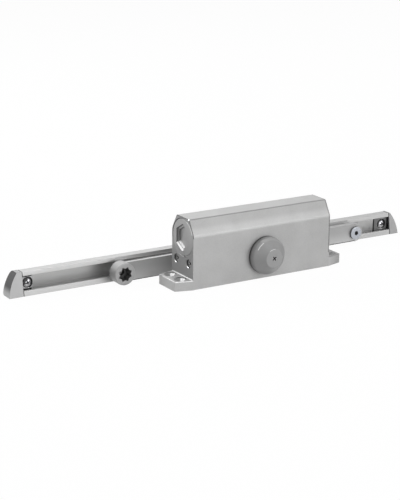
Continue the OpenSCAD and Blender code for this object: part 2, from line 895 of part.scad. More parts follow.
// Outline of the rail's section, or of one that stands proud of its top and front
function rail_outline(proud) = concat(
    [[-proud, 0]],
    arc(rail_depth - rail_edge_r, rail_edge_r, rail_edge_r, -90, 0, arc_steps),
    arc(rail_depth - rail_edge_r, rail_h + proud - rail_edge_r, rail_edge_r, 0, 90, arc_steps),
    [[front_y(rail_h) - proud, rail_h + proud]]);

module rail_cavity() {
    polygon([[front_y(cavity_low) + lip_t, cavity_low], [cavity_back, cavity_low],
             [cavity_back, cavity_high], [front_y(cavity_high) + lip_t, cavity_high]]);
}

// A rail section drawn along X from x, of length l
module along_rail(x, l) {
    translate([x, rail_y, 0])
        rotate([90, 0, 90])
            linear_extrude(height = l)
                children();
}

module track_rail() {
    color("silver")
    difference() {
        along_rail(rail_x, rail_l)
            difference() {
                polygon(rail_outline(0));
                rail_cavity();
                translate([-cut, slot_low])
                    square([rail_depth / 2 + cut, slot_high - slot_low]);
            }
        for (x = [block_left_screw, block_right_screw])
            translate([x, rail_y + cavity_back - cut, fix_z])
                rotate([-90, 0, 0])
                    cylinder(d = fix_screw_d + 2 * seat_fit, h = rail_wall + 2 * cut);
    }
}

// Side of an end cap in X and Z, from the joint outwards: an arc from the foot to the top
function cap_side_points(foot_l) =
    let (top = rail_h + cap_proud, lean = atan2(cap_run, top),
         half = asin(norm([cap_run, top]) / 2 / cap_side_r),
         middle = [foot_l - cap_run / 2, top / 2],
         centre = middle - cap_side_r * cos(half) * [cos(lean), sin(lean)])
    arc(centre[0], centre[1], cap_side_r, lean - half, lean + half, arc_steps);

// Body under the cap's curved side, drawn outwards from start
module under_cap_side(start, foot_l) {
    translate([0, rail_y + rail_depth + cut, 0])
        rotate([90, 0, 0])
            linear_extrude(height = rail_depth + 3 * cut)
                polygon(concat([[start, 0]], cap_side_points(foot_l), [[start, rail_h + cap_proud]]));
}

module track_cap(side) {
    foot_l = side < 0 ? cap_left_l : cap_right_l;
    color("silver")
    translate([side < 0 ? rail_x - cap_joint : rail_end + cap_joint, 0, 0])
        mirror([side < 0 ? 1 : 0, 0, 0])
            difference() {
                intersection() {
                    along_rail(0, foot_l + cut)
                        polygon(rail_outline(cap_proud));
                    under_cap_side(0, foot_l);
                }
                intersection() {
                    along_rail(-cut, foot_l)
                        rail_cavity();
                    translate([-cap_end_wall, 0, 0])
                        under_cap_side(-cut, foot_l);
                }
            }
}

// Fixing block: a plate behind the lips, and a boss that takes the screw to the rail's back
module fixing_block(x, l, h, screw_x) {
    color("darkgray")
    difference() {
        union() {
            translate([x, rail_y + shoe_front, fix_z - h / 2])
                cube([l, block_plate_t, h]);
            translate([screw_x, rail_y + shoe_front, fix_z])
                rotate([-90, 0, 0])
                    cylinder(d = block_boss_d, h = shoe_back - shoe_front);
        }
        translate([screw_x, rail_y + shoe_front - cut, fix_z])
            rotate([-90, 0, 0]) {
                cylinder(d = fix_screw_d + 2 * seat_fit, h = rail_depth);
                cylinder(d = block_recess_d, h = fix_recess + cut);
            }
    }
}

// Pan head screw with a cross recess, pointing to the rear
module fixing_screw(x) {
    head_r = fix_head_d / 2;
    rim_h = fix_head_h * 0.4;
    dome_run = fix_head_h - rim_h;
    dome_r = (head_r * head_r + dome_run * dome_run) / 2 / dome_run;
    dome_half = asin(head_r / dome_r);
    seat = shoe_front + fix_recess;
    color("lightgray")
    translate([x, rail_y + seat, fix_z])
        rotate([-90, 0, 0])
            difference() {
                union() {
                    rotate_extrude()
                        polygon(concat([[0, 0], [head_r, 0]],
                                       arc(0, dome_r - fix_head_h, dome_r, dome_half - 90, -90, arc_steps)));
                    cylinder(d = fix_screw_d, h = rail_depth - seat - seat_fit);
                }
                translate([0, 0, -fix_head_h])
                    rotate([180, 0, 25])
                        cross_recess(fix_head_d * 0.55, fix_head_h * 0.6);
            }
}

closer_body();
end_plug(-1);  // end_plug_left
end_plug(1);  // end_plug_right
plug_ring(-1);  // plug_ring_left
plug_ring(1);  // plug_ring_right
piston();
check_ball();
ball_retainer();
outer_spring();
inner_spring();
spindle();
bearing(true);  // bearing_front
bearing(false);  // bearing_rear
bearing_nut(true);  // bearing_nut_front
bearing_nut(false);  // bearing_nut_rear
shaft_seal(true);  // shaft_seal_front
shaft_seal(false);  // shaft_seal_rear
spindle_cap();
cap_screw();
valve(valve_pitch / 2, sweep_bore_l);  // sweep_valve
valve(-valve_pitch / 2, latch_bore_l);  // latch_valve
valve_ring(valve_pitch / 2);  // sweep_valve_ring
valve_ring(-valve_pitch / 2);  // latch_valve_ring
arm();
pivot_screw();
pivot_bush();
pivot_washer();
slide_shoe();
track_rail();
track_cap(-1);  // track_cap_left
track_cap(1);  // track_cap_right
fixing_block(block_left_x, block_left_l, block_left_h, block_left_screw);  // fixing_block_left
fixing_block(block_right_x, block_right_l, block_right_h, block_right_screw);  // fixing_block_right
fixing_screw(block_left_screw);  // fixing_screw_left
fixing_screw(block_right_screw);  // fixing_screw_right
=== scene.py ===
"""Looks of the slide arm door closer kit: closer body, slide track and arm, on a white floor.

Sizes are in millimetres unless a comment says otherwise. Pieces with a form of their own are built
here and replace their CAD nodes. The other nodes keep their form and get a procedural finish.
"""
import json
import math

import bmesh
import bpy
from mathutils import Matrix, Vector

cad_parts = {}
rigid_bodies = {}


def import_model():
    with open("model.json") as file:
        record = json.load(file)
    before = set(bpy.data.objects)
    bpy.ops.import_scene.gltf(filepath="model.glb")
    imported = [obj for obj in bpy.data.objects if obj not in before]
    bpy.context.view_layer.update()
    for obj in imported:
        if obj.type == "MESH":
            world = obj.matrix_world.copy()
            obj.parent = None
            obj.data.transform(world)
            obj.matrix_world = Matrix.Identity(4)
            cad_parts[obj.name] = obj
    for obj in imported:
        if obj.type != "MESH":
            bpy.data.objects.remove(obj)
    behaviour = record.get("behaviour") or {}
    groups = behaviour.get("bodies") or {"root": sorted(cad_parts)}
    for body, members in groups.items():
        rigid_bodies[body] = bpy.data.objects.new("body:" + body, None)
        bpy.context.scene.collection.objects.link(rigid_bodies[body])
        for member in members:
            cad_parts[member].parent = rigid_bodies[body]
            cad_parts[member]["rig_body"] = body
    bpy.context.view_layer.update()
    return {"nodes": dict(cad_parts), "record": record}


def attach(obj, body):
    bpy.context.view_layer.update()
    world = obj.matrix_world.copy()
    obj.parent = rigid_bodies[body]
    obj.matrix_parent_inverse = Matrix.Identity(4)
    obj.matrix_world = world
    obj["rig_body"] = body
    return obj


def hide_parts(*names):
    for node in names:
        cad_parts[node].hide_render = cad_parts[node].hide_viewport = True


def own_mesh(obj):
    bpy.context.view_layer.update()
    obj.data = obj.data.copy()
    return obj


MM = 0.001

# Camera, fitted to the photograph; its clipping is in metres
CAMERA_PLACE = Vector((-717.81, -1074.07, 401.43))
CAMERA_RIGHT = Vector((0.85298, -0.52187, 0.00869))
CAMERA_UP = Vector((0.14018, 0.24511, 0.95931))
CAMERA_BACK = Vector((-0.50276, -0.81705, 0.28223))
CAMERA_LENS = 103.71
CAMERA_CLIP = (0.01, 20.0)
SENSOR = 36.0

WHITE = (1.0, 1.0, 1.0)

# Soft boxes round the object: place and size in metres, and power in watts
AMBIENT = 0.17
LIGHT_TARGET = (0, 0, 0.02)
LIGHTS = {
    "above": ((0.0, 0.0, 1.6), (1.2, 1.2), 5.3),
    "behind": ((0.2, 1.3, 1.1), (1.6, 0.8), 6.2),
    "right_front": ((1.2, -1.2, 0.6), (1.0, 0.8), 4.3),
    "left_back": ((-1.2, 0.9, 0.8), (1.0, 0.8), 7.4),
    "left_front": ((-1.3, -0.9, 0.6), (1.0, 0.8), 1.5),
    "low_front": ((0.3, -1.6, 0.25), (1.2, 0.4), 6.3),
    "front_high": ((-0.2, -1.3, 1.2), (1.0, 0.8), 2.1),
}

# Floor: half its width in metres, its drop below the object, its tone, and its glow's strength and
# share. The rest of the share keeps the object's shadow.
FLOOR_HALF = 3.0
FLOOR_DROP = 0.02
FLOOR_GREY = 0.8
FLOOR_GLOW = 1.02
GLOW_SHARE = 0.95

# Noise in the finishes: detail, range that most of its values lie in, size of the slow clouds, and
# share of the fine grain in the tone
NOISE_DETAIL = 3.0
NOISE_LOW = 0.3
NOISE_HIGH = 0.7
CLOUD = 25.0
FINE_SHARE = 0.4


def add_camera():
    data = bpy.data.cameras.new("photo_camera")
    data.sensor_fit = "AUTO"
    data.sensor_width = SENSOR
    data.lens = CAMERA_LENS
    data.clip_start, data.clip_end = CAMERA_CLIP
    camera = bpy.data.objects.new("photo_camera", data)
    bpy.context.scene.collection.objects.link(camera)
    turn = Matrix((CAMERA_RIGHT, CAMERA_UP, CAMERA_BACK)).transposed().to_4x4()
    camera.matrix_world = Matrix.Translation(CAMERA_PLACE * MM) @ turn
    bpy.context.scene.camera = camera


def area_light(name, place, target, size, power):
    data = bpy.data.lights.new(name, "AREA")
    data.shape = "RECTANGLE"
    data.size, data.size_y = size
    data.energy = power
    light = bpy.data.objects.new(name, data)
    bpy.context.scene.collection.objects.link(light)
    place = Vector(place)
    light.location = place
    light.rotation_euler = (Vector(target) - place).to_track_quat("-Z", "Y").to_euler()


def background_ray(nodes, links):
    """1 where a ray shows the background: camera, glossy or transmission."""
    path = nodes.new("ShaderNodeLightPath")
    seen = path.outputs["Is Camera Ray"]
    for kind in ("Is Glossy Ray", "Is Transmission Ray"):
        most = nodes.new("ShaderNodeMath")
        most.operation = "MAXIMUM"
        links.new(seen, most.inputs[0])
        links.new(path.outputs[kind], most.inputs[1])
        seen = most.outputs[0]
    return seen


def add_world(strength):
    """A white backdrop that lights the object with the given strength alone."""
    world = bpy.data.worlds.new("studio")
    bpy.context.scene.world = world
    world.use_nodes = True
    nodes, links = world.node_tree.nodes, world.node_tree.links
    nodes.clear()
    output = nodes.new("ShaderNodeOutputWorld")
    mix = nodes.new("ShaderNodeMixShader")
    ambient = nodes.new("ShaderNodeBackground")
    ambient.inputs["Color"].default_value = (*WHITE, 1)
    ambient.inputs["Strength"].default_value = strength
    backdrop = nodes.new("ShaderNodeBackground")
    backdrop.inputs["Color"].default_value = (*WHITE, 1)
    backdrop.inputs["Strength"].default_value = 1.0
    links.new(background_ray(nodes, links), mix.inputs[0])
    links.new(ambient.outputs[0], mix.inputs[1])
    links.new(backdrop.outputs[0], mix.inputs[2])
    links.new(mix.outputs[0], output.inputs["Surface"])


def add_floor():
    """A white floor that keeps a soft part of the object's shadow."""
    half = FLOOR_HALF
    mesh = bpy.data.meshes.new("floor")
    corners = [(-half, -half, 0), (half, -half, 0), (half, half, 0), (-half, half, 0)]
    mesh.from_pydata(corners, [], [(0, 1, 2, 3)])
    floor = bpy.data.objects.new("floor", mesh)
    bpy.context.scene.collection.objects.link(floor)
    floor.location.z = -FLOOR_DROP * MM
    mat = bpy.data.materials.new("floor_white")
    mat.use_nodes = True
    nodes, links = mat.node_tree.nodes, mat.node_tree.links
    nodes.clear()
    output = nodes.new("ShaderNodeOutputMaterial")
    paper = nodes.new("ShaderNodeBsdfDiffuse")
    paper.inputs["Color"].default_value = (FLOOR_GREY, FLOOR_GREY, FLOOR_GREY, 1)
    glow = nodes.new("ShaderNodeEmission")
    glow.inputs["Strength"].default_value = FLOOR_GLOW
    share = nodes.new("ShaderNodeMath")
    share.operation = "MULTIPLY"
    share.inputs[1].default_value = GLOW_SHARE
    mix = nodes.new("ShaderNodeMixShader")
    links.new(background_ray(nodes, links), share.inputs[0])
    links.new(share.outputs[0], mix.inputs[0])
    links.new(paper.outputs[0], mix.inputs[1])
    links.new(glow.outputs[0], mix.inputs[2])
    links.new(mix.outputs[0], output.inputs["Surface"])
    mesh.materials.append(mat)


def coordinates(nodes, links, stretch):
    coord = nodes.new("ShaderNodeTexCoord")
    mapping = nodes.new("ShaderNodeMapping")
    mapping.inputs["Scale"].default_value = stretch
    links.new(coord.outputs["Object"], mapping.inputs["Vector"])
    return mapping.outputs[0]


def noise(nodes, links, vector, size):
    node = nodes.new("ShaderNodeTexNoise")
    node.inputs["Scale"].default_value = 1 / (size * MM)
    node.inputs["Detail"].default_value = NOISE_DETAIL
    links.new(vector, node.inputs["Vector"])
    return node.outputs["Fac"]


def ranged(nodes, links, value, low, high):
    """Spreads a noise value from low to high."""
    node = nodes.new("ShaderNodeMapRange")
    node.inputs["From Min"].default_value = NOISE_LOW
    node.inputs["From Max"].default_value = NOISE_HIGH
    node.inputs["To Min"].default_value = low
    node.inputs["To Max"].default_value = high
    links.new(value, node.inputs["Value"])
    return node.outputs[0]


def faded(nodes, links, tone, axis, at_low, low, at_high, high):
    """Scales a tone from at_low to at_high between two places on an axis."""
    coord = nodes.new("ShaderNodeTexCoord")
    split = nodes.new("ShaderNodeSeparateXYZ")
    links.new(coord.outputs["Object"], split.inputs[0])
    ramp = nodes.new("ShaderNodeMapRange")
    ramp.interpolation_type = "SMOOTHSTEP"
    ramp.inputs["From Min"].default_value = low * MM
    ramp.inputs["From Max"].default_value = high * MM
    ramp.inputs["To Min"].default_value = at_low
    ramp.inputs["To Max"].default_value = at_high
    links.new(split.outputs[axis], ramp.inputs["Value"])
    scale = nodes.new("ShaderNodeVectorMath")
    scale.operation = "SCALE"
    links.new(tone, scale.inputs[0])
    links.new(ramp.outputs[0], scale.inputs["Scale"])
    return scale.outputs[0]


def finish_material(name, colour, metallic, roughness, grain, stretch=(1, 1, 1), bump=0.004,
                    vary=0.05, rough_vary=0.06, specular=0.5, fades=()):
    """Procedural finish: slow clouds in the tone, and a fine grain in roughness and relief.
    grain is the grain's size and bump the relief's height. fades are arguments of faded(); they
    paint light and shade into the tone."""
    mat = bpy.data.materials.new(name)
    mat.use_nodes = True
    nodes, links = mat.node_tree.nodes, mat.node_tree.links
    shader = nodes["Principled BSDF"]
    shader.inputs["Metallic"].default_value = metallic
    shader.inputs["Specular IOR Level"].default_value = specular
    fine = noise(nodes, links, coordinates(nodes, links, stretch), grain)
    slow = noise(nodes, links, coordinates(nodes, links, (1, 1, 1)), CLOUD)
    mix = nodes.new("ShaderNodeMix")
    mix.data_type = "RGBA"
    mix.inputs["A"].default_value = (*[c * (1 - vary) for c in colour], 1)
    mix.inputs["B"].default_value = (*[min(1, c * (1 + vary)) for c in colour], 1)
    blend = nodes.new("ShaderNodeMath")
    blend.operation = "MULTIPLY_ADD"
    blend.inputs[1].default_value = FINE_SHARE
    links.new(fine, blend.inputs[0])
    weighted = nodes.new("ShaderNodeMath")
    weighted.operation = "MULTIPLY"
    weighted.inputs[1].default_value = 1 - FINE_SHARE
    links.new(slow, weighted.inputs[0])
    links.new(weighted.outputs[0], blend.inputs[2])
    links.new(ranged(nodes, links, blend.outputs[0], 0.0, 1.0), mix.inputs["Factor"])
    tone = mix.outputs["Result"]
    for fade in fades:
        tone = faded(nodes, links, tone, *fade)
    links.new(tone, shader.inputs["Base Color"])
    rough = ranged(nodes, links, fine, roughness - rough_vary, roughness + rough_vary)
    links.new(rough, shader.inputs["Roughness"])
    relief = nodes.new("ShaderNodeBump")
    relief.inputs["Strength"].default_value = 1.0
    relief.inputs["Distance"].default_value = bump * MM
    links.new(fine, relief.inputs["Height"])
    links.new(relief.outputs[0], shader.inputs["Normal"])
    return mat


MATERIALS = {}


def finish(name, colour, kind, **own):
    """Adds a finish: a colour or a grey, the values of its kind, and its own values."""
    tones = colour if isinstance(colour, tuple) else (colour, colour, colour)
    MATERIALS[name] = finish_material(name, tones, **{**kind, **own})


# Kinds of surface that several finishes share
CASTING = {"metallic": 0.2, "roughness": 0.42, "grain": 1.1, "vary": 0.1, "bump": 0.006}
PAINT = {"metallic": 0.2, "roughness": 0.42, "grain": 0.8}
DULL_PAINT = {"metallic": 0.2, "roughness": 0.45, "grain": 0.8}
CAP_PAINT = {**DULL_PAINT, "bump": 0.006}
ARM_PAINT = {**DULL_PAINT, "bump": 0.008}
BRUSHED = {"metallic": 0.3, "roughness": 0.38, "grain": 0.4, "stretch": (0.04, 1, 1)}
SHADE = {"metallic": 0.0, "roughness": 0.5, "grain": 0.3, "specular": 0.2}
ZINC = {"metallic": 0.3, "roughness": 0.42, "grain": 0.4}
BRIGHT = {"grain": 0.4, "vary": 0.02, "rough_vary": 0.05}

# Closer body
CAST_GREY = (0.505, 0.505, 0.503)
# Painted fall of light along the body: 3 % lighter at its left end and 3 % darker at its right
LENGTH_FADE = ("X", 1.03, -75.0, 0.97, 75.0)
# The body's paint, with a painted highlight along the top of the shoulder bend that fades out up
# the slope, and painted shade down its right end
finish("body_paint", CAST_GREY, CASTING,
       fades=[("Z", 1.0, 48.8, 1.2, 52.0), ("Z", 1.0, 53.0, 0.83, 58.5),
              LENGTH_FADE, ("X", 1.0, 73.6, 0.25, 75.3)])
# The front below FOOT_Z: the body's grey without the painted shade at the right end
finish("body_foot", CAST_GREY, CASTING, fades=[LENGTH_FADE])
# The flanges' paint, with painted shade darkening the right flange towards its tip
finish("flange_paint_and_shade", (0.53, 0.53, 0.528), CASTING, fades=[("X", 1.0, 76.0, 0.72, 90.0)])
# A darker grey as painted shade: the top ridge's bevel, and the right flange's top face, top edges
# and corners
finish("painted_shade_grey", 0.33, PAINT)
# A darker copy of the body's paint on its end faces and on the lead-ins of their holes, painted
# shade
finish("end_face_painted_shade", 0.356, PAINT, roughness=0.4, grain=0.9, vary=0.07)
# A light grey for painted highlights: the left flange's top edges, an arc of each plug's rim, the
# fixing blocks' recess mouths and the fixing screws' heads
finish("painted_highlight_grey", 0.85, PAINT, metallic=0.3, roughness=0.3, grain=0.5, rough_vary=0.05)
# A near black grey for painted shade: bevels round the end faces' upper parts, the pivot screw
# head's side, the fixing blocks' top and bottom faces
finish("painted_dark_shade", 0.16, PAINT, metallic=0.1, roughness=0.45, grain=0.5, specular=0.2)
finish("plug_steel", 0.425, PAINT, metallic=0.3, roughness=0.38, grain=0.6)
# Painted shade on the rear walls of the plugs' key holes
finish("key_wall_painted_shade", 0.24, PAINT, roughness=0.4, grain=0.3)
finish("sink_shade", 0.46, SHADE, metallic=0.1, roughness=0.45, grain=0.4, specular=0.3)

# Spindle cap
# The cap's paint, with a painted shadow at its base by the body, painted shade low down and painted
# light high up
finish("cap_paint", (0.325, 0.325, 0.326), CAP_PAINT, specular=0.35,
       fades=[("Y", 1.0, -23.4, 0.16, -19.8), ("Z", 0.8, 5.0, 1.0, 13.0),
              ("Z", 1.0, 24.0, 1.06, 36.0)])
# Painted highlights on the cap's cone and its flat's edge, a painted lighter band round its upper
# rim, and a lighter copy of its paint on its flat front and screw head as painted light
finish("cap_painted_glint", 0.72, DULL_PAINT, roughness=0.35)
finish("cap_rim_painted_light", 0.385, CAP_PAINT)
finish("cap_face_painted_light", (0.355, 0.355, 0.356), CAP_PAINT)

# Arm
# The arm's paint, with painted light and shade: darker on its left and upper parts, lighter towards
# its right end and its lower edge
finish("arm_paint", 0.43, ARM_PAINT,
       fades=[("X", 1.0, -60.0, 1.2, 110.0), ("Z", 1.2, 2.0, 0.88, 16.0)])
# The boss's paint, with painted shade on its left side
finish("boss_paint_and_shade", 0.465, ARM_PAINT, fades=[("X", 0.76, -131.7, 1.0, -125.0)])
finish("boss_face", 0.415, ARM_PAINT)
# The arm's top face: left of the middle a lighter grey as a painted highlight, with painted shade
# along its rear edge; right of the middle its own grey as painted light
finish("arm_top_left_light_and_shade", 0.6, ARM_PAINT, fades=[("Y", 1.0, 33.2, 0.08, 34.1)])
finish("arm_top_right_painted_light", 0.42, ARM_PAINT)

# Track
TRACK_GREY = (0.545, 0.545, 0.542)
finish("track_aluminium", TRACK_GREY, BRUSHED)
# The rail's top, painted light: lighter at the left end, darker at the right
finish("rail_top_painted_light", TRACK_GREY, BRUSHED, fades=[("X", 1.08, -200.0, 0.9, 190.0)])
# The upper lip's front between the arm's boss and its pivot: painted light low down, where the arm
# shades it, and painted shade high up
finish("lip_painted_light_and_shade", (0.5, 0.5, 0.498), BRUSHED, fades=[("Z", 1.3, 18.3, 0.85, 20.6)])
# The rail's inner back wall: painted light towards the top, painted shade by the arm's boss,
# painted light behind the arm and by the right fixing block
finish("channel_light_and_shade", (0.55, 0.55, 0.547), BRUSHED,
       fades=[("Z", 0.9, 4.0, 1.1, 14.0), ("X", 1.0, -146.0, 0.7, -128.0),
              ("X", 1.0, -122.0, 2.1, -112.0), ("X", 1.0, 146.0, 0.68, 158.0),
              ("X", 1.0, 168.0, 1.4, 180.0)])
# The track caps: the left cap's front lighter as painted light, its side near black as painted
# shade that lightens towards the bottom, the right cap's front a little darker as painted shade
finish("cap_front", 0.5, PAINT)
finish("cap_side_painted_shade", 0.12, SHADE, grain=0.6, fades=[("Z", 5.0, 2.5, 1.0, 10.0)])
finish("cap_right_painted_shade", 0.405, DULL_PAINT)
finish("cap_plastic", 0.42, DULL_PAINT, grain=0.6)
finish("block_zinc", (0.5, 0.5, 0.51), ZINC)
# A dark grey for the right fixing block; on the right cap's end face by the block it stands as
# painted shade
finish("block_dark", 0.17, ZINC)
finish("shoe_plastic", 0.5, SHADE, grain=0.4, specular=0.5)

# Painted shade in recesses, gaps and joints; mirror and metal finishes on faces picked for painted
# highlights and sheen; bare metal and hidden pieces
finish("painted_black_shade", 0.05, SHADE, specular=0.15)
finish("painted_recess_shade", 0.12, SHADE)
finish("mirror_for_painted_glint", 0.97, BRIGHT, metallic=0.95, roughness=0.22)
finish("metal_for_painted_glint", 0.74, BRIGHT, metallic=0.8, roughness=0.34)
finish("bare_metal_and_painted_sheen", 0.62, ZINC, metallic=0.75, roughness=0.38, grain=0.3, rough_vary=0.04)
finish("valve_steel", 0.55, ZINC, roughness=0.4, grain=0.3)
finish("zinc_steel", (0.47, 0.49, 0.53), ZINC, metallic=0.7, roughness=0.3, vary=0.08)
finish("screw_chrome", (0.5, 0.5, 0.52), BRIGHT, metallic=0.9, roughness=0.2, grain=0.6, vary=0.03)
finish("dark_steel", (0.25, 0.25, 0.26), ZINC, metallic=0.9, roughness=0.35, grain=0.3)
finish("spring_steel", (0.3, 0.3, 0.32), ZINC, metallic=0.9, roughness=0.3, grain=0.5)
finish("piston_iron", (0.3, 0.3, 0.31), ZINC, metallic=0.85, roughness=0.4, grain=0.3)
finish("bearing_steel", 0.55, ZINC, metallic=0.95, roughness=0.25)
finish("bronze", (0.55, 0.38, 0.18), ZINC, metallic=0.9, roughness=0.35, grain=0.3)
finish("seal_rubber", 0.02, SHADE, roughness=0.65, specular=0.5)

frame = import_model()
SLOT = {s["node"]: s["material_slot"] for s in frame["record"]["subparts"]}
rebuilt = set()

# Sizes repeated from the CAD source: body and flanges
BODY_END = 75.5
BODY_R = 19.0
BODY_H = 64.0
TOP_FLAT = 21.6
SHOULDER_DROP = 14.0
BEND_R = 8.0
FLANGE_T = 9.0
FLANGE_TIP = 92.0
FLANGE_TIP_W = 28.4
FIX_X = 83.0
FIX_Y = 9.0
FIX_R = 3.0
CSK_R = 6.1

# Bores, plugs, valves and spindle
BORE_Z = 45.0
BORE_R = 16.0
SEAT = 0.05
PLUG_R = 17.3
PLUG_HEAD = 8
PLUG_LENGTH = 14
PLUG_SEAT_R = PLUG_R + SEAT
PLUG_MOUTH = 0.65
SPIGOT_R = BORE_R - SEAT
GROOVE_R = 13.5
GROOVE = (9.56, 12.44)
STAKE = (-3.6, 28.08)
STAKE_R = 0.9
STAKE_DEPTH = 0.6
SPINDLE_X = 2.0
SPINDLE_Z = 22.4
CROSS_BORE_R = 11.7
NUT_R = 14.05
NUT_DEPTH = 3.2
NUT_MOUTH = 0.3
VALVE_Z = 23.0
VALVE_Y = 10.8
VALVE_R = 4.0
VALVE_MOUTH = 0.2
SWEEP_DEPTH = 36
LATCH_DEPTH = 26

# Spindle cap
CAP_Y = 19.4
CAP_R = 17.8
CAP_SKIRT = 6.2
CAP_H = 15.4
CAP_FLAT_R = 9.0

# Arm
PIVOT = (144.0, 11.55)
PIVOT_HEAD_Y = 27.7
ARM_L = 265.3
ARM_W = 18.4
ARM_Y = 30.4
ARM_BACK = 35.9
EYE_R = 5.05
BOSS_R = 10.4
BOSS_FRONT = 24.2
BOSS_Z = 10.4
BOSS_HOLE_R = 3.2
STAR_R = (5.2, 6.79)
STAR_DEPTH = 8.2
DROOP = math.asin((PIVOT[1] - BOSS_Z) / ARM_L)

# Track and its fixing blocks
RAIL_X = -214.6
RAIL_END = 196.8
RAIL_Y = 40.2
RAIL_H = 21.8
RAIL_DEPTH = 14.6
RAIL_LEAN = math.tan(math.radians(8.5))
RAIL_EDGE_R = 3.0
LIP = 2.2
SLOT_LOW = 5.0
SLOT_HIGH = 18.1
CAVITY_LOW = 2.6
CAVITY_HIGH = 20.1
CAVITY_BACK = 12.9
LEFT_SCREW_X = -208.9
RIGHT_SCREW_X = 189.5
FIX_SCREW_Z = 10.9
FIX_HOLE_R = 2.45
BLOCK_FRONT = 5.46
BLOCK_BACK = 12.6
BLOCK_BOSS_R = 5.3
RECESS_R = 5.0
RECESS_MOUTH = 0.4
RECESS = 1.6
PLATE_T = 2.6
THIN_PLATE = 2.1

# Details in the scene alone. Each step of the key hole has a width, a depth and a wall's slope.
KEY_STEPS = ((22.0, 1.7, 0.75), (18.0, 3.3, 1.6))
# Radii of the ring on the spindle cap's cone that carries a painted highlight
GLINT_RING = (15.6, 16.15)
# Chamfer on the arm's lower front edge, painted near black as shade
CHAMFER = 1.1
# Below this height the body's front lacks the painted shade at its right end
FOOT_Z = FLANGE_T + 5

# Edges sharper than this are softened and shaded as edges
SHARP = math.radians(28)
# A face whose normal has this share along an axis faces that way
FACING = 0.9
PLACE = {
    "X": lambda u, v, w: (w, u, v),
    "Y": lambda u, v, w: (u, w, v),
    "Z": lambda u, v, w: (u, v, w),
}
AXIS_FRAME = {
    "X": ((1, 0, 0), (0, 1, 0), (0, 0, 1)),
    "-X": ((-1, 0, 0), (0, 1, 0), (0, 0, 1)),
    "Y": ((0, 1, 0), (1, 0, 0), (0, 0, 1)),
    "-Y": ((0, -1, 0), (1, 0, 0), (0, 0, 1)),
    "-Z": ((0, 0, -1), (1, 0, 0), (0, 1, 0)),
}


def solid(name, bm, materials):
    """An object from a bmesh in millimetres, with its material slots."""
    bmesh.ops.recalc_face_normals(bm, faces=bm.faces)
    bmesh.ops.scale(bm, vec=(MM, MM, MM), verts=bm.verts)
    mesh = bpy.data.meshes.new(name)
    bm.to_mesh(mesh)
    bm.free()
    for key in materials:
        mesh.materials.append(MATERIALS[key])
    piece = bpy.data.objects.new(name, mesh)
    bpy.context.scene.collection.objects.link(piece)
    return piece


def bevel(bm, width, chosen, slot):
    """Softens the sharp edges whose middle is chosen. The slot -1 keeps the faces' own material."""
    edges = [e for e in bm.edges if len(e.link_faces) == 2 and e.calc_face_angle(0) > SHARP]
    edges = [e for e in edges if chosen((e.verts[0].co + e.verts[1].co) / 2)]
    bmesh.ops.bevel(bm, geom=edges, offset=width, offset_type="OFFSET", segments=2,
                    profile=0.5, affect="EDGES", clamp_overlap=True, material=slot)


def everywhere(place):
    return True


def loft(rings):
    """A closed bmesh through rings of places that all have the same count."""
    bm = bmesh.new()
    rows = [[bm.verts.new(place) for place in ring] for ring in rings]
    bm.faces.new(rows[0])
    bm.faces.new(rows[-1])
    count = len(rows[0])
    for low, high in zip(rows, rows[1:]):
        for i in range(count):
            j = (i + 1) % count
            bm.faces.new((low[i], low[j], high[j], high[i]))
    return bm


def prism(name, outline, axis, low, high, materials, bevels=()):
    """An outline drawn along an axis. bevels are (width, place test, material slot)."""
    place = PLACE[axis]
    bm = loft([[place(u, v, w) for u, v in outline] for w in (low, high)])
    bmesh.ops.recalc_face_normals(bm, faces=bm.faces)
    for width, chosen, slot in bevels:
        bevel(bm, width, chosen, slot)
    return solid(name, bm, materials)


def lathe(name, profile, origin, axis, materials, slots=None, closed=False, steps=64):
    """A turned solid from [radius, distance] points. slots gives each band's material slot."""
    along, side, other = [Vector(v) for v in AXIS_FRAME[axis]]
    origin = Vector(origin)
    turns = [2 * math.pi * k / steps for k in range(steps)]
    bm = bmesh.new()
    rings = []
    for r, d in profile:
        centre = origin + along * d
        if r == 0:
            rings.append([bm.verts.new(centre)] * steps)
            continue
        rings.append([bm.verts.new(centre + side * r * math.cos(a) + other * r * math.sin(a))
                      for a in turns])
    count = len(rings) if closed else len(rings) - 1
    for i in range(count):
        a, b = rings[i], rings[(i + 1) % len(rings)]
        for k in range(steps):
            m = (k + 1) % steps
            corners = list(dict.fromkeys((a[k], a[m], b[m], b[k])))
            face = bm.faces.new(corners)
            face.material_index = slots[i] if slots else 0
    return solid(name, bm, materials)


def rod(r, low, high):
    """The profile of a plain round form."""
    return [(0, low), (r, low), (r, high), (0, high)]


def mouthed(r, mouth, depth):
    """The profile of a round hole with a lead-in of 45 degrees."""
    return [(0, -1), (r + mouth + 1, -1), (r, mouth), (r, depth), (0, depth)]


def combine(target, tool, operation):
    """Joins a tool to a piece or cuts it out of it; the tool's faces keep their own material."""
    modifier = target.modifiers.new("combine", "BOOLEAN")
    modifier.object = tool
    modifier.operation = operation
    modifier.solver = "EXACT"
    modifier.material_mode = "TRANSFER"
    bpy.context.view_layer.update()
    depsgraph = bpy.context.evaluated_depsgraph_get()
    mesh = bpy.data.meshes.new_from_object(target.evaluated_get(depsgraph), depsgraph=depsgraph)
    target.modifiers.clear()
    target.data = mesh
    bpy.data.objects.remove(tool)


def cut(target, tool):
    combine(target, tool, "DIFFERENCE")


def join(target, tool):
    combine(target, tool, "UNION")


def parted(piece, planes):
    """Divides a piece's faces along planes, each an axis and a place."""
    bm = bmesh.new()
    bm.from_mesh(piece.data)
    for axis, place in planes:
        normal = Vector(PLACE[axis](0, 0, 1))
        bmesh.ops.bisect_plane(bm, geom=[*bm.verts, *bm.edges, *bm.faces],
                               plane_co=normal * place * MM, plane_no=normal)
    bm.to_mesh(piece.data)
    bm.free()


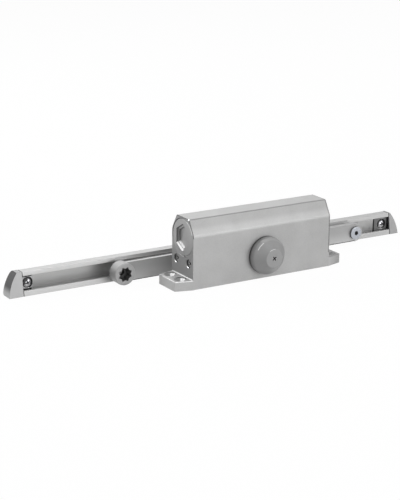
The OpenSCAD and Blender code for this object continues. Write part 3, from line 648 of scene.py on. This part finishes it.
def assign(piece, material, chosen):
    """Gives the faces that chosen(centre, normal) picks another material."""
    mesh = piece.data
    finish_chosen = MATERIALS[material]
    if finish_chosen.name not in mesh.materials:
        mesh.materials.append(finish_chosen)
    index = mesh.materials.find(finish_chosen.name)
    for polygon in mesh.polygons:
        if chosen(polygon.center / MM, polygon.normal):
            polygon.material_index = index


def shade(piece):
    mesh = piece.data
    for polygon in mesh.polygons:
        polygon.use_smooth = True
    mesh.set_sharp_from_angle(angle=SHARP)
    weighted = piece.modifiers.new("shading", "WEIGHTED_NORMAL")
    weighted.keep_sharp = True


def stands_for(piece, node):
    """Puts a finished piece in the place of its CAD node, on the node's body."""
    shade(piece)
    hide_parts(node)
    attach(piece, frame["nodes"][node]["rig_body"])
    rebuilt.add(node)


def arc(cx, cy, r, start, end, n):
    turns = [math.radians(start + (end - start) * i / n) for i in range(n + 1)]
    return [(cx + r * math.cos(a), cy + r * math.sin(a)) for a in turns]


def hexagon(af):
    """Corners of a hexagon with two of its corners up and down."""
    r = af / 2 / math.cos(math.radians(30))
    turns = [math.radians(60 * k) for k in range(6)]
    return [(r * math.sin(a), r * math.cos(a)) for a in turns]


def moved(outline, du, dv):
    return [(u + du, v + dv) for u, v in outline]


def turned(c, x, z):
    """How far round an axis along Y a place lies, in degrees to the right of its top."""
    return math.degrees(math.atan2(c.x - x, c.z - z))


def from_axis(c, x, z):
    """How far from an axis along Y a place lies."""
    return math.hypot(c.x - x, c.z - z)


def from_bore(c):
    """How far from the cylinder bore's axis a place lies."""
    return math.hypot(c.y, c.z - BORE_Z)


def housing_outline():
    turn = math.degrees(math.atan2(BODY_R - TOP_FLAT / 2, SHOULDER_DROP))
    bend_z = BODY_H - SHOULDER_DROP - BEND_R * math.tan(math.radians(turn / 2))
    bend_y = BODY_R - BEND_R
    return ([(-BODY_R, 0), (BODY_R, 0)]
            + arc(bend_y, bend_z, BEND_R, 0, turn, 10)
            + [(TOP_FLAT / 2, BODY_H), (-TOP_FLAT / 2, BODY_H)]
            + arc(-bend_y, bend_z, BEND_R, 180 - turn, 180, 10))


def flange_outline(side):
    return [(side * (BODY_END - 1), -BODY_R), (side * BODY_END, -BODY_R),
            (side * FLANGE_TIP, -FLANGE_TIP_W / 2), (side * FLANGE_TIP, FLANGE_TIP_W / 2),
            (side * BODY_END, BODY_R), (side * (BODY_END - 1), BODY_R)]


def flange(side, edge, tip_slot):
    """One fixing flange. edge is the finish of its top edges, a painted highlight on the left
    flange and painted shade on the right. tip_slot is the material slot of its upright corners.
    """
    def top_edge(c):
        return c.z > FLANGE_T - 0.01 and abs(c.x) > BODY_END - 0.9

    def corner(c):
        return 0.01 < c.z < FLANGE_T - 1 and abs(c.x) > FLANGE_TIP - 1

    top_width, corner_width = 0.7, 0.8
    return prism("flange", flange_outline(side), "Z", 0, FLANGE_T, ["flange_paint_and_shade", edge],
                 [(top_width, top_edge, 1), (corner_width, corner, tip_slot)])


def body_form():
    """The casting's outside, with a painted highlight at its left top corner: a small cut facet in
    a mirror finish.
    """
    ridge_width, end_width, foot_width = 0.9, 0.5, 0.3
    # The top ridge's bevel takes a darker grey as painted shade
    piece = prism("closer_body_finished", housing_outline(), "X", -BODY_END, BODY_END,
                  ["body_paint", "painted_shade_grey"],
                  [(ridge_width, lambda c: c.z > BODY_H - 0.1 and abs(c.x) < 1, 1),
                   (end_width, lambda c: c.z > 1, -1),
                   (foot_width, lambda c: c.z < 0.01, -1)])
    # Painted shade: the end faces in a darker copy of the paint, and the bevels round their upper
    # parts near black
    dark_above = 44
    assign(piece, "end_face_painted_shade", lambda c, n: abs(n.x) > 0.99)
    assign(piece, "painted_dark_shade", lambda c, n: 0.1 < abs(n.x) < 0.99 and c.z > dark_above)
    left, nick_y = -BODY_END, -TOP_FLAT / 2
    nick = [(left - 1, BODY_H - 2), (left - 1, BODY_H + 1), (left + 2, BODY_H + 1)]
    cut(piece, prism("corner_glint", nick, "Y", nick_y - 0.4, nick_y + 1.6, ["mirror_for_painted_glint"]))
    # The left flange's top edges carry a painted highlight; the right flange's top edges and
    # corners carry painted shade
    for side, edge, tip_slot in ((-1, "painted_highlight_grey", 0), (1, "painted_shade_grey", 1)):
        join(piece, flange(side, edge, tip_slot))
        fillet = [(side * (BODY_END - 0.5), FLANGE_T - 0.5),
                  (side * (BODY_END + 0.8), FLANGE_T - 0.1),
                  (side * (BODY_END - 0.1), FLANGE_T + 0.8)]
        join(piece, prism("fillet", fillet, "Y", 1 - BODY_R, BODY_R - 1, [edge]))
    return piece


def stake_mark(face, axis):
    """The small dent that stakes a plug in the body, painted dark inside as shade."""
    return lathe("stake", rod(STAKE_R, -1, STAKE_DEPTH), (face, *STAKE), axis, ["painted_recess_shade"],
                 steps=16)


def body_holes(piece):
    """Cylinder bore, plug seats, spindle bore, valve bores and the flanges' screw holes."""
    past_ends = 100
    cut(piece, lathe("bore", rod(BORE_R, -past_ends, past_ends), (0, 0, BORE_Z), "X",
                     ["bare_metal_and_painted_sheen"]))
    for side, axis in ((-1, "X"), (1, "-X")):
        face = side * BODY_END
        cut(piece, lathe("seat", mouthed(PLUG_SEAT_R, PLUG_MOUTH, PLUG_HEAD), (face, 0, BORE_Z),
                         axis, ["end_face_painted_shade"], steps=96))
        cut(piece, stake_mark(face, axis))
    cut(piece, lathe("cross", rod(CROSS_BORE_R, -BODY_R - 1, BODY_R + 1),
                     (SPINDLE_X, 0, SPINDLE_Z), "Y", ["bare_metal_and_painted_sheen"]))
    for side, axis in ((-1, "Y"), (1, "-Y")):
        cut(piece, lathe("nut_seat", mouthed(NUT_R, NUT_MOUTH, NUT_DEPTH),
                         (SPINDLE_X, side * BODY_R, SPINDLE_Z), axis, ["bare_metal_and_painted_sheen"]))
    # Painted highlights: an off-centre cone in a mirror finish widens each valve bore's mouth at
    # its lower left; the bores are painted dark inside as shade
    glint = [(0, -1), (3.3, -1), (1.3, 1), (0, 1)]
    glint_right, glint_down = 0.9, 2.2
    for y, depth in ((VALVE_Y, SWEEP_DEPTH), (-VALVE_Y, LATCH_DEPTH)):
        cut(piece, lathe("valve_bore", mouthed(VALVE_R, VALVE_MOUTH, depth),
                         (-BODY_END, y, VALVE_Z), "X", ["end_face_painted_shade", "painted_recess_shade"],
                         [0, 0, 1, 1], steps=48))
        cut(piece, lathe("glint", glint, (-BODY_END, y + glint_right, VALVE_Z - glint_down), "X",
                         ["mirror_for_painted_glint"], steps=32))
    # The screw sinks' cones are divided just below their mouths, so that their upper ring can carry
    # painted shade
    rim = 0.6
    hole = [(0, -1), (CSK_R + 1, -1), (CSK_R - rim, rim), (FIX_R, CSK_R - FIX_R),
            (FIX_R, FLANGE_T + 1), (0, FLANGE_T + 1)]
    for x in (-FIX_X, FIX_X):
        for y in (-FIX_Y, FIX_Y):
            cut(piece, lathe("fix_hole", hole, (x, y, FLANGE_T), "-Z", ["bare_metal_and_painted_sheen"], steps=48))


def round_sink(c):
    """How far round a screw hole a place lies, in degrees clockwise from its rear right side."""
    rear_right = math.radians(58.4)
    x = c.x - math.copysign(FIX_X, c.x)
    y = c.y - math.copysign(FIX_Y, c.y)
    return (math.degrees(rear_right - math.atan2(y, x)) + 180) % 360 - 180


def on_sink(c, n):
    """Whether a face is part of a flange's screw sink."""
    away = math.hypot(abs(c.x) - FIX_X, abs(c.y) - FIX_Y)
    return away < CSK_R and 4 < c.z < FLANGE_T - 0.05 and 0.4 < n.z < 0.95


def body_finishes(piece):
    """Painted shade: a dark line round the upper part of each plug, the screw sinks darker, a dark
    upper ring in the left ones and the right flange's top face darker. Painted highlights: a sheen
    and a glint in the left sinks and glints on the left flange's tip edges. The front below FOOT_Z
    keeps its grey without the painted shade at the right end.
    """
    rim_r = PLUG_SEAT_R + 0.35

    def on_rim(c, n):
        return 0.3 < abs(n.x) < FACING and abs(from_bore(c) - rim_r) < 0.45

    def in_left_sink(c, n, start, end):
        return on_sink(c, n) and c.x < 0 and start < round_sink(c) < end

    def left_edge(c, n):
        return (-0.95 < n.x < -0.3 and 0.3 < n.z < 0.95
                and FLANGE_T - 1 < c.z < FLANGE_T + 0.1 and c.x < -BODY_END - 1)

    assign(piece, "painted_recess_shade", lambda c, n: on_rim(c, n) and c.z > BORE_Z - 3)
    assign(piece, "sink_shade", on_sink)
    assign(piece, "bare_metal_and_painted_sheen", lambda c, n: in_left_sink(c, n, 0, 48))
    assign(piece, "metal_for_painted_glint", lambda c, n: in_left_sink(c, n, 8, 38))
    assign(piece, "painted_recess_shade", lambda c, n: (
        in_left_sink(c, n, -50, 75) and c.z > FLANGE_T - 0.6))
    assign(piece, "metal_for_painted_glint", lambda c, n: left_edge(c, n) and not on_sink(c, n))
    parted(piece, [("Z", FOOT_Z)])
    assign(piece, "body_foot", lambda c, n: (
        n.y < -0.5 and c.z < FOOT_Z and abs(c.x) < BODY_END))
    assign(piece, "painted_shade_grey", lambda c, n: (
        n.z > FACING and FLANGE_T - 1 < c.z < FOOT_Z and c.x > BODY_END))


def closer_body():
    piece = body_form()
    body_holes(piece)
    body_finishes(piece)
    stands_for(piece, "closer_body")


def key_tool(af, face, inward, depth, slope):
    """The form of a hexagon key hole with a sloping lower rear wall. The wall's two corners move
    along the hexagon's neighbouring sides."""
    floor_ring = moved(hexagon(af), 0, BORE_Z)
    mouth_ring = list(floor_ring)
    one_by_cos_30, tan_30 = 1.155, 0.577
    u, v = floor_ring[2]
    mouth_ring[2] = (u, v - slope * one_by_cos_30)
    u, v = floor_ring[3]
    mouth_ring[3] = (u + slope, v - slope * tan_30)
    rings = [(mouth_ring, face - inward), (mouth_ring, face), (floor_ring, face + inward * depth)]
    return solid("key", loft([[(x, u, v) for u, v in ring] for ring, x in rings]), ["plug_steel"])


def end_plug(node, side, axis):
    face = side * BODY_END
    edge = 0.4
    profile = [(0, 0), (PLUG_R - edge, 0), (PLUG_R, edge), (PLUG_R, PLUG_HEAD),
               (SPIGOT_R, PLUG_HEAD), (SPIGOT_R, GROOVE[0]), (GROOVE_R, GROOVE[0]),
               (GROOVE_R, GROOVE[1]), (SPIGOT_R, GROOVE[1]), (SPIGOT_R, PLUG_LENGTH),
               (0, PLUG_LENGTH)]
    piece = lathe(node + "_finished", profile, (face, 0, BORE_Z), axis, ["plug_steel"], steps=96)
    for af, depth, slope in KEY_STEPS:
        cut(piece, key_tool(af, face, -side, depth, slope))
    cut(piece, stake_mark(face, axis))
    wall_r, slope_r = 12.4, 13

    def rear_wall(c, n):
        return abs(n.x) < 0.1 and from_bore(c) < wall_r and n.y < -0.4 and n.z < 0.2

    def sloped_wall(c, n):
        return (0.2 < abs(n.x) < FACING and n.y < -0.2 and n.z > 0.2
                and abs(c.x) < BODY_END - 0.05 and from_bore(c) < slope_r)

    def lit_edge(c, n):
        return (0.3 < abs(n.x) < FACING and from_bore(c) > PLUG_R - edge
                and c.z > BORE_Z + 6 and c.y < -6.5)

    # Painted shade on the key hole's rear walls, painted highlights on its sloped walls and on an
    # arc of the plug's upper front rim
    assign(piece, "key_wall_painted_shade", rear_wall)
    assign(piece, "metal_for_painted_glint", sloped_wall)
    assign(piece, "painted_highlight_grey", lit_edge)
    stands_for(piece, node)


def spindle_cap():
    slope = math.degrees(math.atan2(CAP_R - CAP_FLAT_R, CAP_H - CAP_SKIRT))
    soft = 5.0
    edge = 0.7
    steepness = math.tan(math.radians(slope))
    outer = ([(CAP_R, 0)]
             + arc(CAP_R - soft, CAP_SKIRT - soft * math.tan(math.radians(slope / 2)), soft,
                   0, slope, 14)
             + [(r, CAP_SKIRT + (CAP_R - r) / steepness) for r in reversed(GLINT_RING)]
             + arc(CAP_FLAT_R - edge * 0.55, CAP_H - edge, edge, slope, 90, 4))
    sink_r, screw_r, sink_end = 3.9, 2.7, 13.8
    socket_r, socket_end = 6.8, 8.2
    hub_r, hub_end = 8.4, 1.1
    roof, shell_r, shell_bend = 13.2, 15.6, 5.0
    seat = [(sink_r, CAP_H), (screw_r, sink_end), (screw_r, socket_end), (socket_r, socket_end),
            (socket_r, hub_end), (hub_r, hub_end)]
    inner = [(hub_r, roof), (CAP_FLAT_R, roof), (shell_r, shell_bend), (shell_r, 0)]
    piece = lathe("spindle_cap_finished", outer + seat + inner, (SPINDLE_X, -CAP_Y, SPINDLE_Z),
                  "-Y", ["cap_paint"], closed=True, steps=128)
    flat = 0.98

    def ring_r(c):
        return from_axis(c, SPINDLE_X, SPINDLE_Z)

    def between(c, start, end):
        return start < turned(c, SPINDLE_X, SPINDLE_Z) < end

    # Painted light on the flat front and a band of the upper rim, painted highlights on the flat's
    # edge and on a ring of the cone
    assign(piece, "cap_face_painted_light", lambda c, n: n.y < -flat and ring_r(c) < CAP_FLAT_R)
    assign(piece, "cap_rim_painted_light", lambda c, n: (
        ring_r(c) > CAP_R - 3.8 and 0.2 < -n.y < 0.7 and between(c, -30, 62)))
    assign(piece, "cap_painted_glint", lambda c, n: (
        CAP_FLAT_R - 0.6 < ring_r(c) < CAP_FLAT_R + 0.1 and 0.75 < -n.y < flat
        and between(c, -35, 5)))
    assign(piece, "cap_painted_glint", lambda c, n: (
        GLINT_RING[0] < ring_r(c) < GLINT_RING[1] and -n.y > 0.5 and between(c, -60, -27)))
    stands_for(piece, "spindle_cap")


def cross_tool(place, size, width, depth, turn):
    """A cross that a driver fits, cut into a head along Y and narrower at its floor, and painted
    near black inside as shade. turn is in degrees."""
    half, slim = size / 2, width / 2
    corners = [(-half, -slim), (-slim, -slim), (-slim, -half), (slim, -half), (slim, -slim),
               (half, -slim), (half, slim), (slim, slim), (slim, half), (-slim, half),
               (-slim, slim), (-half, slim)]
    along, side, other = [Vector(v) for v in AXIS_FRAME["Y"]]
    angle = math.radians(turn)
    start, floor_share = -1.5, 0.55
    rings = []
    for d, share in ((start, 1.0), (depth, floor_share)):
        ring = []
        for u, v in corners:
            a = (u * math.cos(angle) - v * math.sin(angle)) * share
            b = (u * math.sin(angle) + v * math.cos(angle)) * share
            ring.append(Vector(place) + along * d + side * a + other * b)
        rings.append(ring)
    return solid("cross", loft(rings), ["painted_black_shade"])


def cap_screw():
    head_y = -(CAP_Y + CAP_H - 0.1)
    head_r, shank_r, head_h, length = 3.8, 2.45, 1.5, 12
    profile = [(0, 0), (head_r - 0.05, 0), (head_r, 0.05), (shank_r, head_h), (shank_r, length),
               (0, length)]
    # The head takes the cap's lighter front grey, painted light
    piece = lathe("cap_screw_finished", profile, (SPINDLE_X, head_y, SPINDLE_Z), "Y", ["cap_face_painted_light"])
    cut(piece, cross_tool((SPINDLE_X, head_y, SPINDLE_Z), size=6.4, width=1.4, depth=1.2, turn=35))
    stands_for(piece, "cap_screw")


def along_arm(x, z):
    """A point of the arm's own line, in the frame."""
    return (PIVOT[0] + x * math.cos(DROOP) - z * math.sin(DROOP),
            PIVOT[1] + x * math.sin(DROOP) + z * math.cos(DROOP))


def chamfer_tool(half):
    """What a chamfer takes off the arm's lower front edge; its face is painted near black as shade.
    """
    section = [(ARM_Y - 1, CHAMFER + 1 - half), (ARM_Y + CHAMFER + 1, -1 - half),
               (ARM_Y - 1, -1 - half)]
    tool = prism("chamfer", section, "X", -ARM_L, 0, ["painted_black_shade"])
    pivot = Vector((PIVOT[0], 0, PIVOT[1])) * MM
    tool.data.transform(Matrix.Translation(pivot) @ Matrix.Rotation(-DROOP, 4, "Y"))
    return tool


def star_tool(x, z):
    """The boss's eight-pointed socket, with a flared mouth, painted dark inside as shade."""
    rings = []
    for y, share in ((BOSS_FRONT - 1, 1.1), (BOSS_FRONT + 1, 1.03), (BOSS_FRONT + STAR_DEPTH, 1.0)):
        ring = []
        for k in range(16):
            r = STAR_R[k % 2] * share
            a = math.radians(22.5 * k)
            ring.append((x + r * math.cos(a), y, z + r * math.sin(a)))
        rings.append(ring)
    return solid("star", loft(rings), ["painted_recess_shade"])


def arm():
    half = ARM_W / 2
    outline = (arc(0, 0, half, -90, 90, 16)
               + [(-ARM_L / 2, half), (-ARM_L, half), (-ARM_L, -half), (-ARM_L / 2, -half)])
    outline = [along_arm(x, z) for x, z in outline]
    piece = prism("arm_finished", outline, "Y", ARM_Y, ARM_BACK, ["arm_paint"],
                  [(0.35, lambda c: c.z > 11, 0)])
    cut(piece, chamfer_tool(half))
    # The top face carries painted light and shade, in different greys left and right of the middle
    middle = along_arm(-ARM_L / 2, 0)[0]
    assign(piece, "arm_top_left_light_and_shade", lambda c, n: n.z > FACING and c.x < middle)
    assign(piece, "arm_top_right_painted_light", lambda c, n: n.z > FACING and c.x > middle)
    boss_x, boss_z = along_arm(-ARM_L, 0)
    length = ARM_BACK - BOSS_FRONT
    profile = [(0, 0), (BOSS_R - 0.9, 0), (BOSS_R - 0.6, 0.08), (BOSS_R - 0.25, 0.3),
               (BOSS_R - 0.06, 0.65), (BOSS_R, 1.0), (BOSS_R, length - 0.4),
               (BOSS_R - 0.4, length), (0, length)]
    join(piece, lathe("boss", profile, (boss_x, BOSS_FRONT, boss_z), "Y", ["boss_paint_and_shade"],
                      steps=96))
    cut(piece, star_tool(boss_x, boss_z))
    # The hole through the boss is painted near black inside as shade
    cut(piece, lathe("hole", rod(BOSS_HOLE_R, -10, 20), (boss_x, ARM_Y, boss_z), "Y",
                     ["painted_black_shade"]))
    cut(piece, lathe("eye", rod(EYE_R, -10, 20), (PIVOT[0], ARM_Y, PIVOT[1]), "Y", ["arm_paint"]))
    assign(piece, "boss_face", lambda c, n: n.y < -FACING and c.y < BOSS_FRONT + 0.1)
    stands_for(piece, "arm")


def pivot_screw():
    head_r, head_h, shank_r, length = 6.4, 2.4, 3, 21.8
    profile = [(0, 0), (head_r - 0.7, 0), (head_r - 0.3, 0.12), (head_r, 0.5), (head_r, head_h),
               (shank_r, head_h), (shank_r, length), (0, length)]
    piece = lathe("pivot_screw_finished", profile, (PIVOT[0], PIVOT_HEAD_Y, PIVOT[1]), "Y",
                  ["zinc_steel"], steps=96)
    # The key hole is painted near black as shade, and the head's side near black as painted shade
    key_af, key_depth = 4.2, 1.9
    key = moved(hexagon(key_af), *PIVOT)
    cut(piece, prism("key", key, "Y", PIVOT_HEAD_Y - 1, PIVOT_HEAD_Y + key_depth, ["painted_black_shade"]))
    assign(piece, "painted_dark_shade", lambda c, n: abs(n.y) < 0.3 and c.y < PIVOT_HEAD_Y + 2.5)
    stands_for(piece, "pivot_screw")


def front_y(z):
    """Where the rail's leaning front lies at a height."""
    return RAIL_Y + z * RAIL_LEAN


def rail_outline():
    back, r = RAIL_Y + RAIL_DEPTH - RAIL_EDGE_R, RAIL_EDGE_R
    web = RAIL_Y + CAVITY_BACK
    return ([(RAIL_Y, 0)]
            + arc(back, r, r, -90, 0, 8)
            + arc(back, RAIL_H - r, r, 0, 90, 8)
            + [(front_y(RAIL_H), RAIL_H), (front_y(SLOT_HIGH), SLOT_HIGH),
               (front_y(SLOT_HIGH) + LIP, SLOT_HIGH), (front_y(CAVITY_HIGH) + LIP, CAVITY_HIGH),
               (web, CAVITY_HIGH), (web, CAVITY_LOW),
               (front_y(CAVITY_LOW) + LIP, CAVITY_LOW), (front_y(SLOT_LOW) + LIP, SLOT_LOW),
               (front_y(SLOT_LOW), SLOT_LOW)])


def track_rail():
    web = RAIL_Y + CAVITY_BACK
    piece = prism("track_rail_finished", rail_outline(), "X", RAIL_X, RAIL_END,
                  ["track_aluminium"], [(0.25, everywhere, -1)])
    for x in (LEFT_SCREW_X, RIGHT_SCREW_X):
        cut(piece, lathe("hole", rod(FIX_HOLE_R, -2, 4), (x, web, FIX_SCREW_Z), "Y",
                         ["track_aluminium"], steps=32))
    # The faces are divided at the arm's boss and pivot, so that the painted light on the upper lip
    # lies between them alone
    boss_x = along_arm(-ARM_L, 0)[0]
    parted(piece, [("X", boss_x), ("X", PIVOT[0])])

    def lip_painted_behind_arm(c, n):
        return (n.y < -0.7 and SLOT_HIGH - 0.1 < c.z < CAVITY_HIGH + 1
                and c.y < front_y(c.z) + 0.3 and boss_x < c.x < PIVOT[0])

    # Painted light on the top, painted light and shade on the upper lip behind the arm and on the
    # inner back wall, and painted shade on the rail's ends by the caps
    assign(piece, "rail_top_painted_light", lambda c, n: n.z > 0.3 and c.z > CAVITY_HIGH)
    assign(piece, "lip_painted_light_and_shade", lip_painted_behind_arm)
    assign(piece, "channel_light_and_shade", lambda c, n: n.y < -FACING and c.y > web - 0.5)
    assign(piece, "painted_black_shade", lambda c, n: abs(n.x) > 0.2)
    stands_for(piece, "track_rail")


def fixing_block(node, low, high, height, screw_x, finished, thick, shade_tongue):
    """A block with a screw in a recess. Behind it stands either a taller plate painted near black,
    seen above and below the block as painted shade, or a side wall in a mirror finish at its left
    end, as painted light on the rail's back wall.
    """
    front = RAIL_Y + BLOCK_FRONT
    bottom, top = FIX_SCREW_Z - height / 2, FIX_SCREW_Z + height / 2

    def screw_hole():
        return lathe("hole", rod(FIX_HOLE_R, -1, 10), (screw_x, front, FIX_SCREW_Z), "Y",
                     ["painted_black_shade"])

    outline = [(low, bottom), (high, bottom), (high, top), (low, top)]
    piece = prism(node + "_finished", outline, "Y", front, front + thick, [finished],
                  [(0.3, everywhere, -1)])
    join(piece, lathe("boss", rod(BLOCK_BOSS_R, 0.5, BLOCK_BACK - BLOCK_FRONT),
                      (screw_x, front, FIX_SCREW_Z), "Y", [finished]))
    # The recess has a painted highlight round its mouth and painted shade inside
    cut(piece, lathe("recess", mouthed(RECESS_R, RECESS_MOUTH, RECESS),
                     (screw_x, front, FIX_SCREW_Z), "Y", ["painted_highlight_grey", "painted_black_shade"],
                     [0, 0, 1, 1]))
    cut(piece, screw_hole())
    # Painted shade on the block's top, bottom and left end faces
    assign(piece, "painted_dark_shade", lambda c, n: abs(n.z) > FACING)
    assign(piece, "painted_black_shade", lambda c, n: n.x < -0.3)
    if shade_tongue:
        shade_tongue_low, shade_tongue_high = 2.9, 18.9
        behind = [(low, shade_tongue_low), (high - 0.6, shade_tongue_low), (high - 0.6, shade_tongue_high),
                  (low, shade_tongue_high)]
        shade_tongue_plate = prism("shade_tongue", behind, "Y", front + 1.2, front + PLATE_T, ["painted_black_shade"])
        cut(shade_tongue_plate, screw_hole())
        join(piece, shade_tongue_plate)
    else:
        near, far = low + 0.4, low + 1.4
        side = [(near, bottom), (far, bottom), (far, top), (near, top)]
        join(piece, prism("side", side, "Y", front + thick - 0.3, RAIL_Y + CAVITY_BACK - 0.05,
                          ["mirror_for_painted_glint"]))
    stands_for(piece, node)


def fixing_screw(node, x):
    """A round-headed cross screw in a fixing block, with painted shade on its head's side and upper
    left and a painted highlight at the bottom of its dome.
    """
    head_r, head_h, shank_r, rim_share = 4.0, 2.8, 2.4, 0.4
    rise = head_h - head_h * rim_share
    dome_r = (head_r * head_r + rise * rise) / 2 / rise
    half = math.asin(head_r / dome_r)
    seat = RAIL_Y + BLOCK_FRONT + RECESS
    end = RAIL_DEPTH - BLOCK_FRONT - RECESS - SEAT
    steps = 8
    turns = [half * k / steps for k in range(1, steps + 1)]
    dome = [(dome_r * math.sin(a), -head_h + dome_r - dome_r * math.cos(a)) for a in turns]
    profile = [(0, -head_h)] + dome + [(head_r, 0), (shank_r, 0), (shank_r, end), (0, end)]
    piece = lathe(node + "_finished", profile, (x, seat, FIX_SCREW_Z), "Y", ["screw_chrome"])
    cut(piece, cross_tool((x, seat - head_h, FIX_SCREW_Z), size=5.8, width=1.5, depth=1.7, turn=20))
    shade_r = 2.0 if x < 0 else 3.1
    light_r = 1.6

    def on_dome(c, n, least_r):
        return from_axis(c, x, FIX_SCREW_Z) > least_r and n.y < -0.3

    assign(piece, "painted_recess_shade", lambda c, n: abs(n.y) < 0.3 and c.y < seat)
    assign(piece, "painted_recess_shade", lambda c, n: (
        on_dome(c, n, shade_r) and -110 < turned(c, x, FIX_SCREW_Z) < 5))
    assign(piece, "painted_highlight_grey", lambda c, n: (
        on_dome(c, n, light_r) and abs(turned(c, x, FIX_SCREW_Z)) >= 125))
    stands_for(piece, node)


def clean_copy(node, merge):
    """A copy of a CAD node's mesh with its flat faces whole again, so its edges can be softened."""
    source = frame["nodes"][node]
    mesh = source.data.copy()
    bm = bmesh.new()
    bm.from_mesh(mesh)
    bmesh.ops.remove_doubles(bm, verts=bm.verts, dist=merge * MM)
    bmesh.ops.dissolve_limit(bm, angle_limit=math.radians(0.5), verts=bm.verts, edges=bm.edges)
    bm.to_mesh(mesh)
    bm.free()
    mesh.materials.clear()
    mesh.materials.append(MATERIALS[SLOT[node]])
    piece = bpy.data.objects.new(node + "_finished", mesh)
    bpy.context.scene.collection.objects.link(piece)
    return piece


def softened(node, width, merge=0.002):
    """The node's own form with its sharp edges rounded by width."""
    piece = clean_copy(node, merge)
    edges = piece.modifiers.new("edges", "BEVEL")
    edges.width = width * MM
    edges.segments = 2
    edges.limit_method = "ANGLE"
    edges.angle_limit = SHARP
    stands_for(piece, node)
    return piece


def track_caps():
    width, merge = 0.35, 0.05
    left = softened("track_cap_left", width, merge)
    # Painted light on the left cap's front, painted shade on its side and on its face at the rail;
    # painted shade on the right cap's front and on its faces at the rail and the block
    assign(left, "cap_front", lambda c, n: n.y < -FACING)
    assign(left, "cap_side_painted_shade", lambda c, n: n.x < -0.5)
    assign(left, "painted_black_shade", lambda c, n: n.x > 0.3)
    right = softened("track_cap_right", width, merge)
    assign(right, "cap_right_painted_shade", lambda c, n: n.y < -FACING)
    assign(right, "painted_black_shade", lambda c, n: n.x < -0.3)
    assign(right, "block_dark", lambda c, n: n.x < -0.99)


def closing_spring(node):
    """A spring that the piston presses together against the right plug as it slides; here it keeps
    its CAD form, on a mesh of its own.
    """
    piece = clean_copy(node, 0.002)
    stands_for(piece, node)
    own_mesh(piece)


def valve(node, y):
    """A speed valve screw, the cross in its head painted near black as shade."""
    piece = softened(node, 0.2)
    cross_r, cross_start, cross_end = 2.6, -73.4, -71.5

    def in_cross(c, n):
        away = math.hypot(c.y - y, c.z - VALVE_Z)
        return away < cross_r and cross_start < c.x < cross_end

    assign(piece, "painted_black_shade", in_cross)


def dress(node):
    """A CAD node that stays as it is, in its procedural finish."""
    mesh = frame["nodes"][node].data
    mesh.materials.clear()
    mesh.materials.append(MATERIALS[SLOT[node]])


closer_body()
end_plug("end_plug_left", -1, "X")
end_plug("end_plug_right", 1, "-X")
spindle_cap()
cap_screw()
arm()
pivot_screw()
track_rail()
fixing_block("fixing_block_left", low=-218.6, high=-203.6, height=10.8, screw_x=LEFT_SCREW_X,
             finished="block_zinc", thick=PLATE_T, shade_tongue=True)
fixing_block("fixing_block_right", low=180.1, high=196.5, height=16.0, screw_x=RIGHT_SCREW_X,
             finished="block_dark", thick=THIN_PLATE, shade_tongue=False)
fixing_screw("fixing_screw_left", LEFT_SCREW_X)
fixing_screw("fixing_screw_right", RIGHT_SCREW_X)
track_caps()
softened("slide_shoe", width=0.5)
closing_spring("outer_spring")
closing_spring("inner_spring")
valve("sweep_valve", VALVE_Y)
valve("latch_valve", -VALVE_Y)
for node in frame["nodes"]:
    if node not in rebuilt:
        dress(node)

add_camera()
add_world(AMBIENT)
for name, (place, size, power) in LIGHTS.items():
    area_light(name, place, LIGHT_TARGET, size, power)
add_floor()
bpy.context.scene.view_settings.view_transform = "Standard"
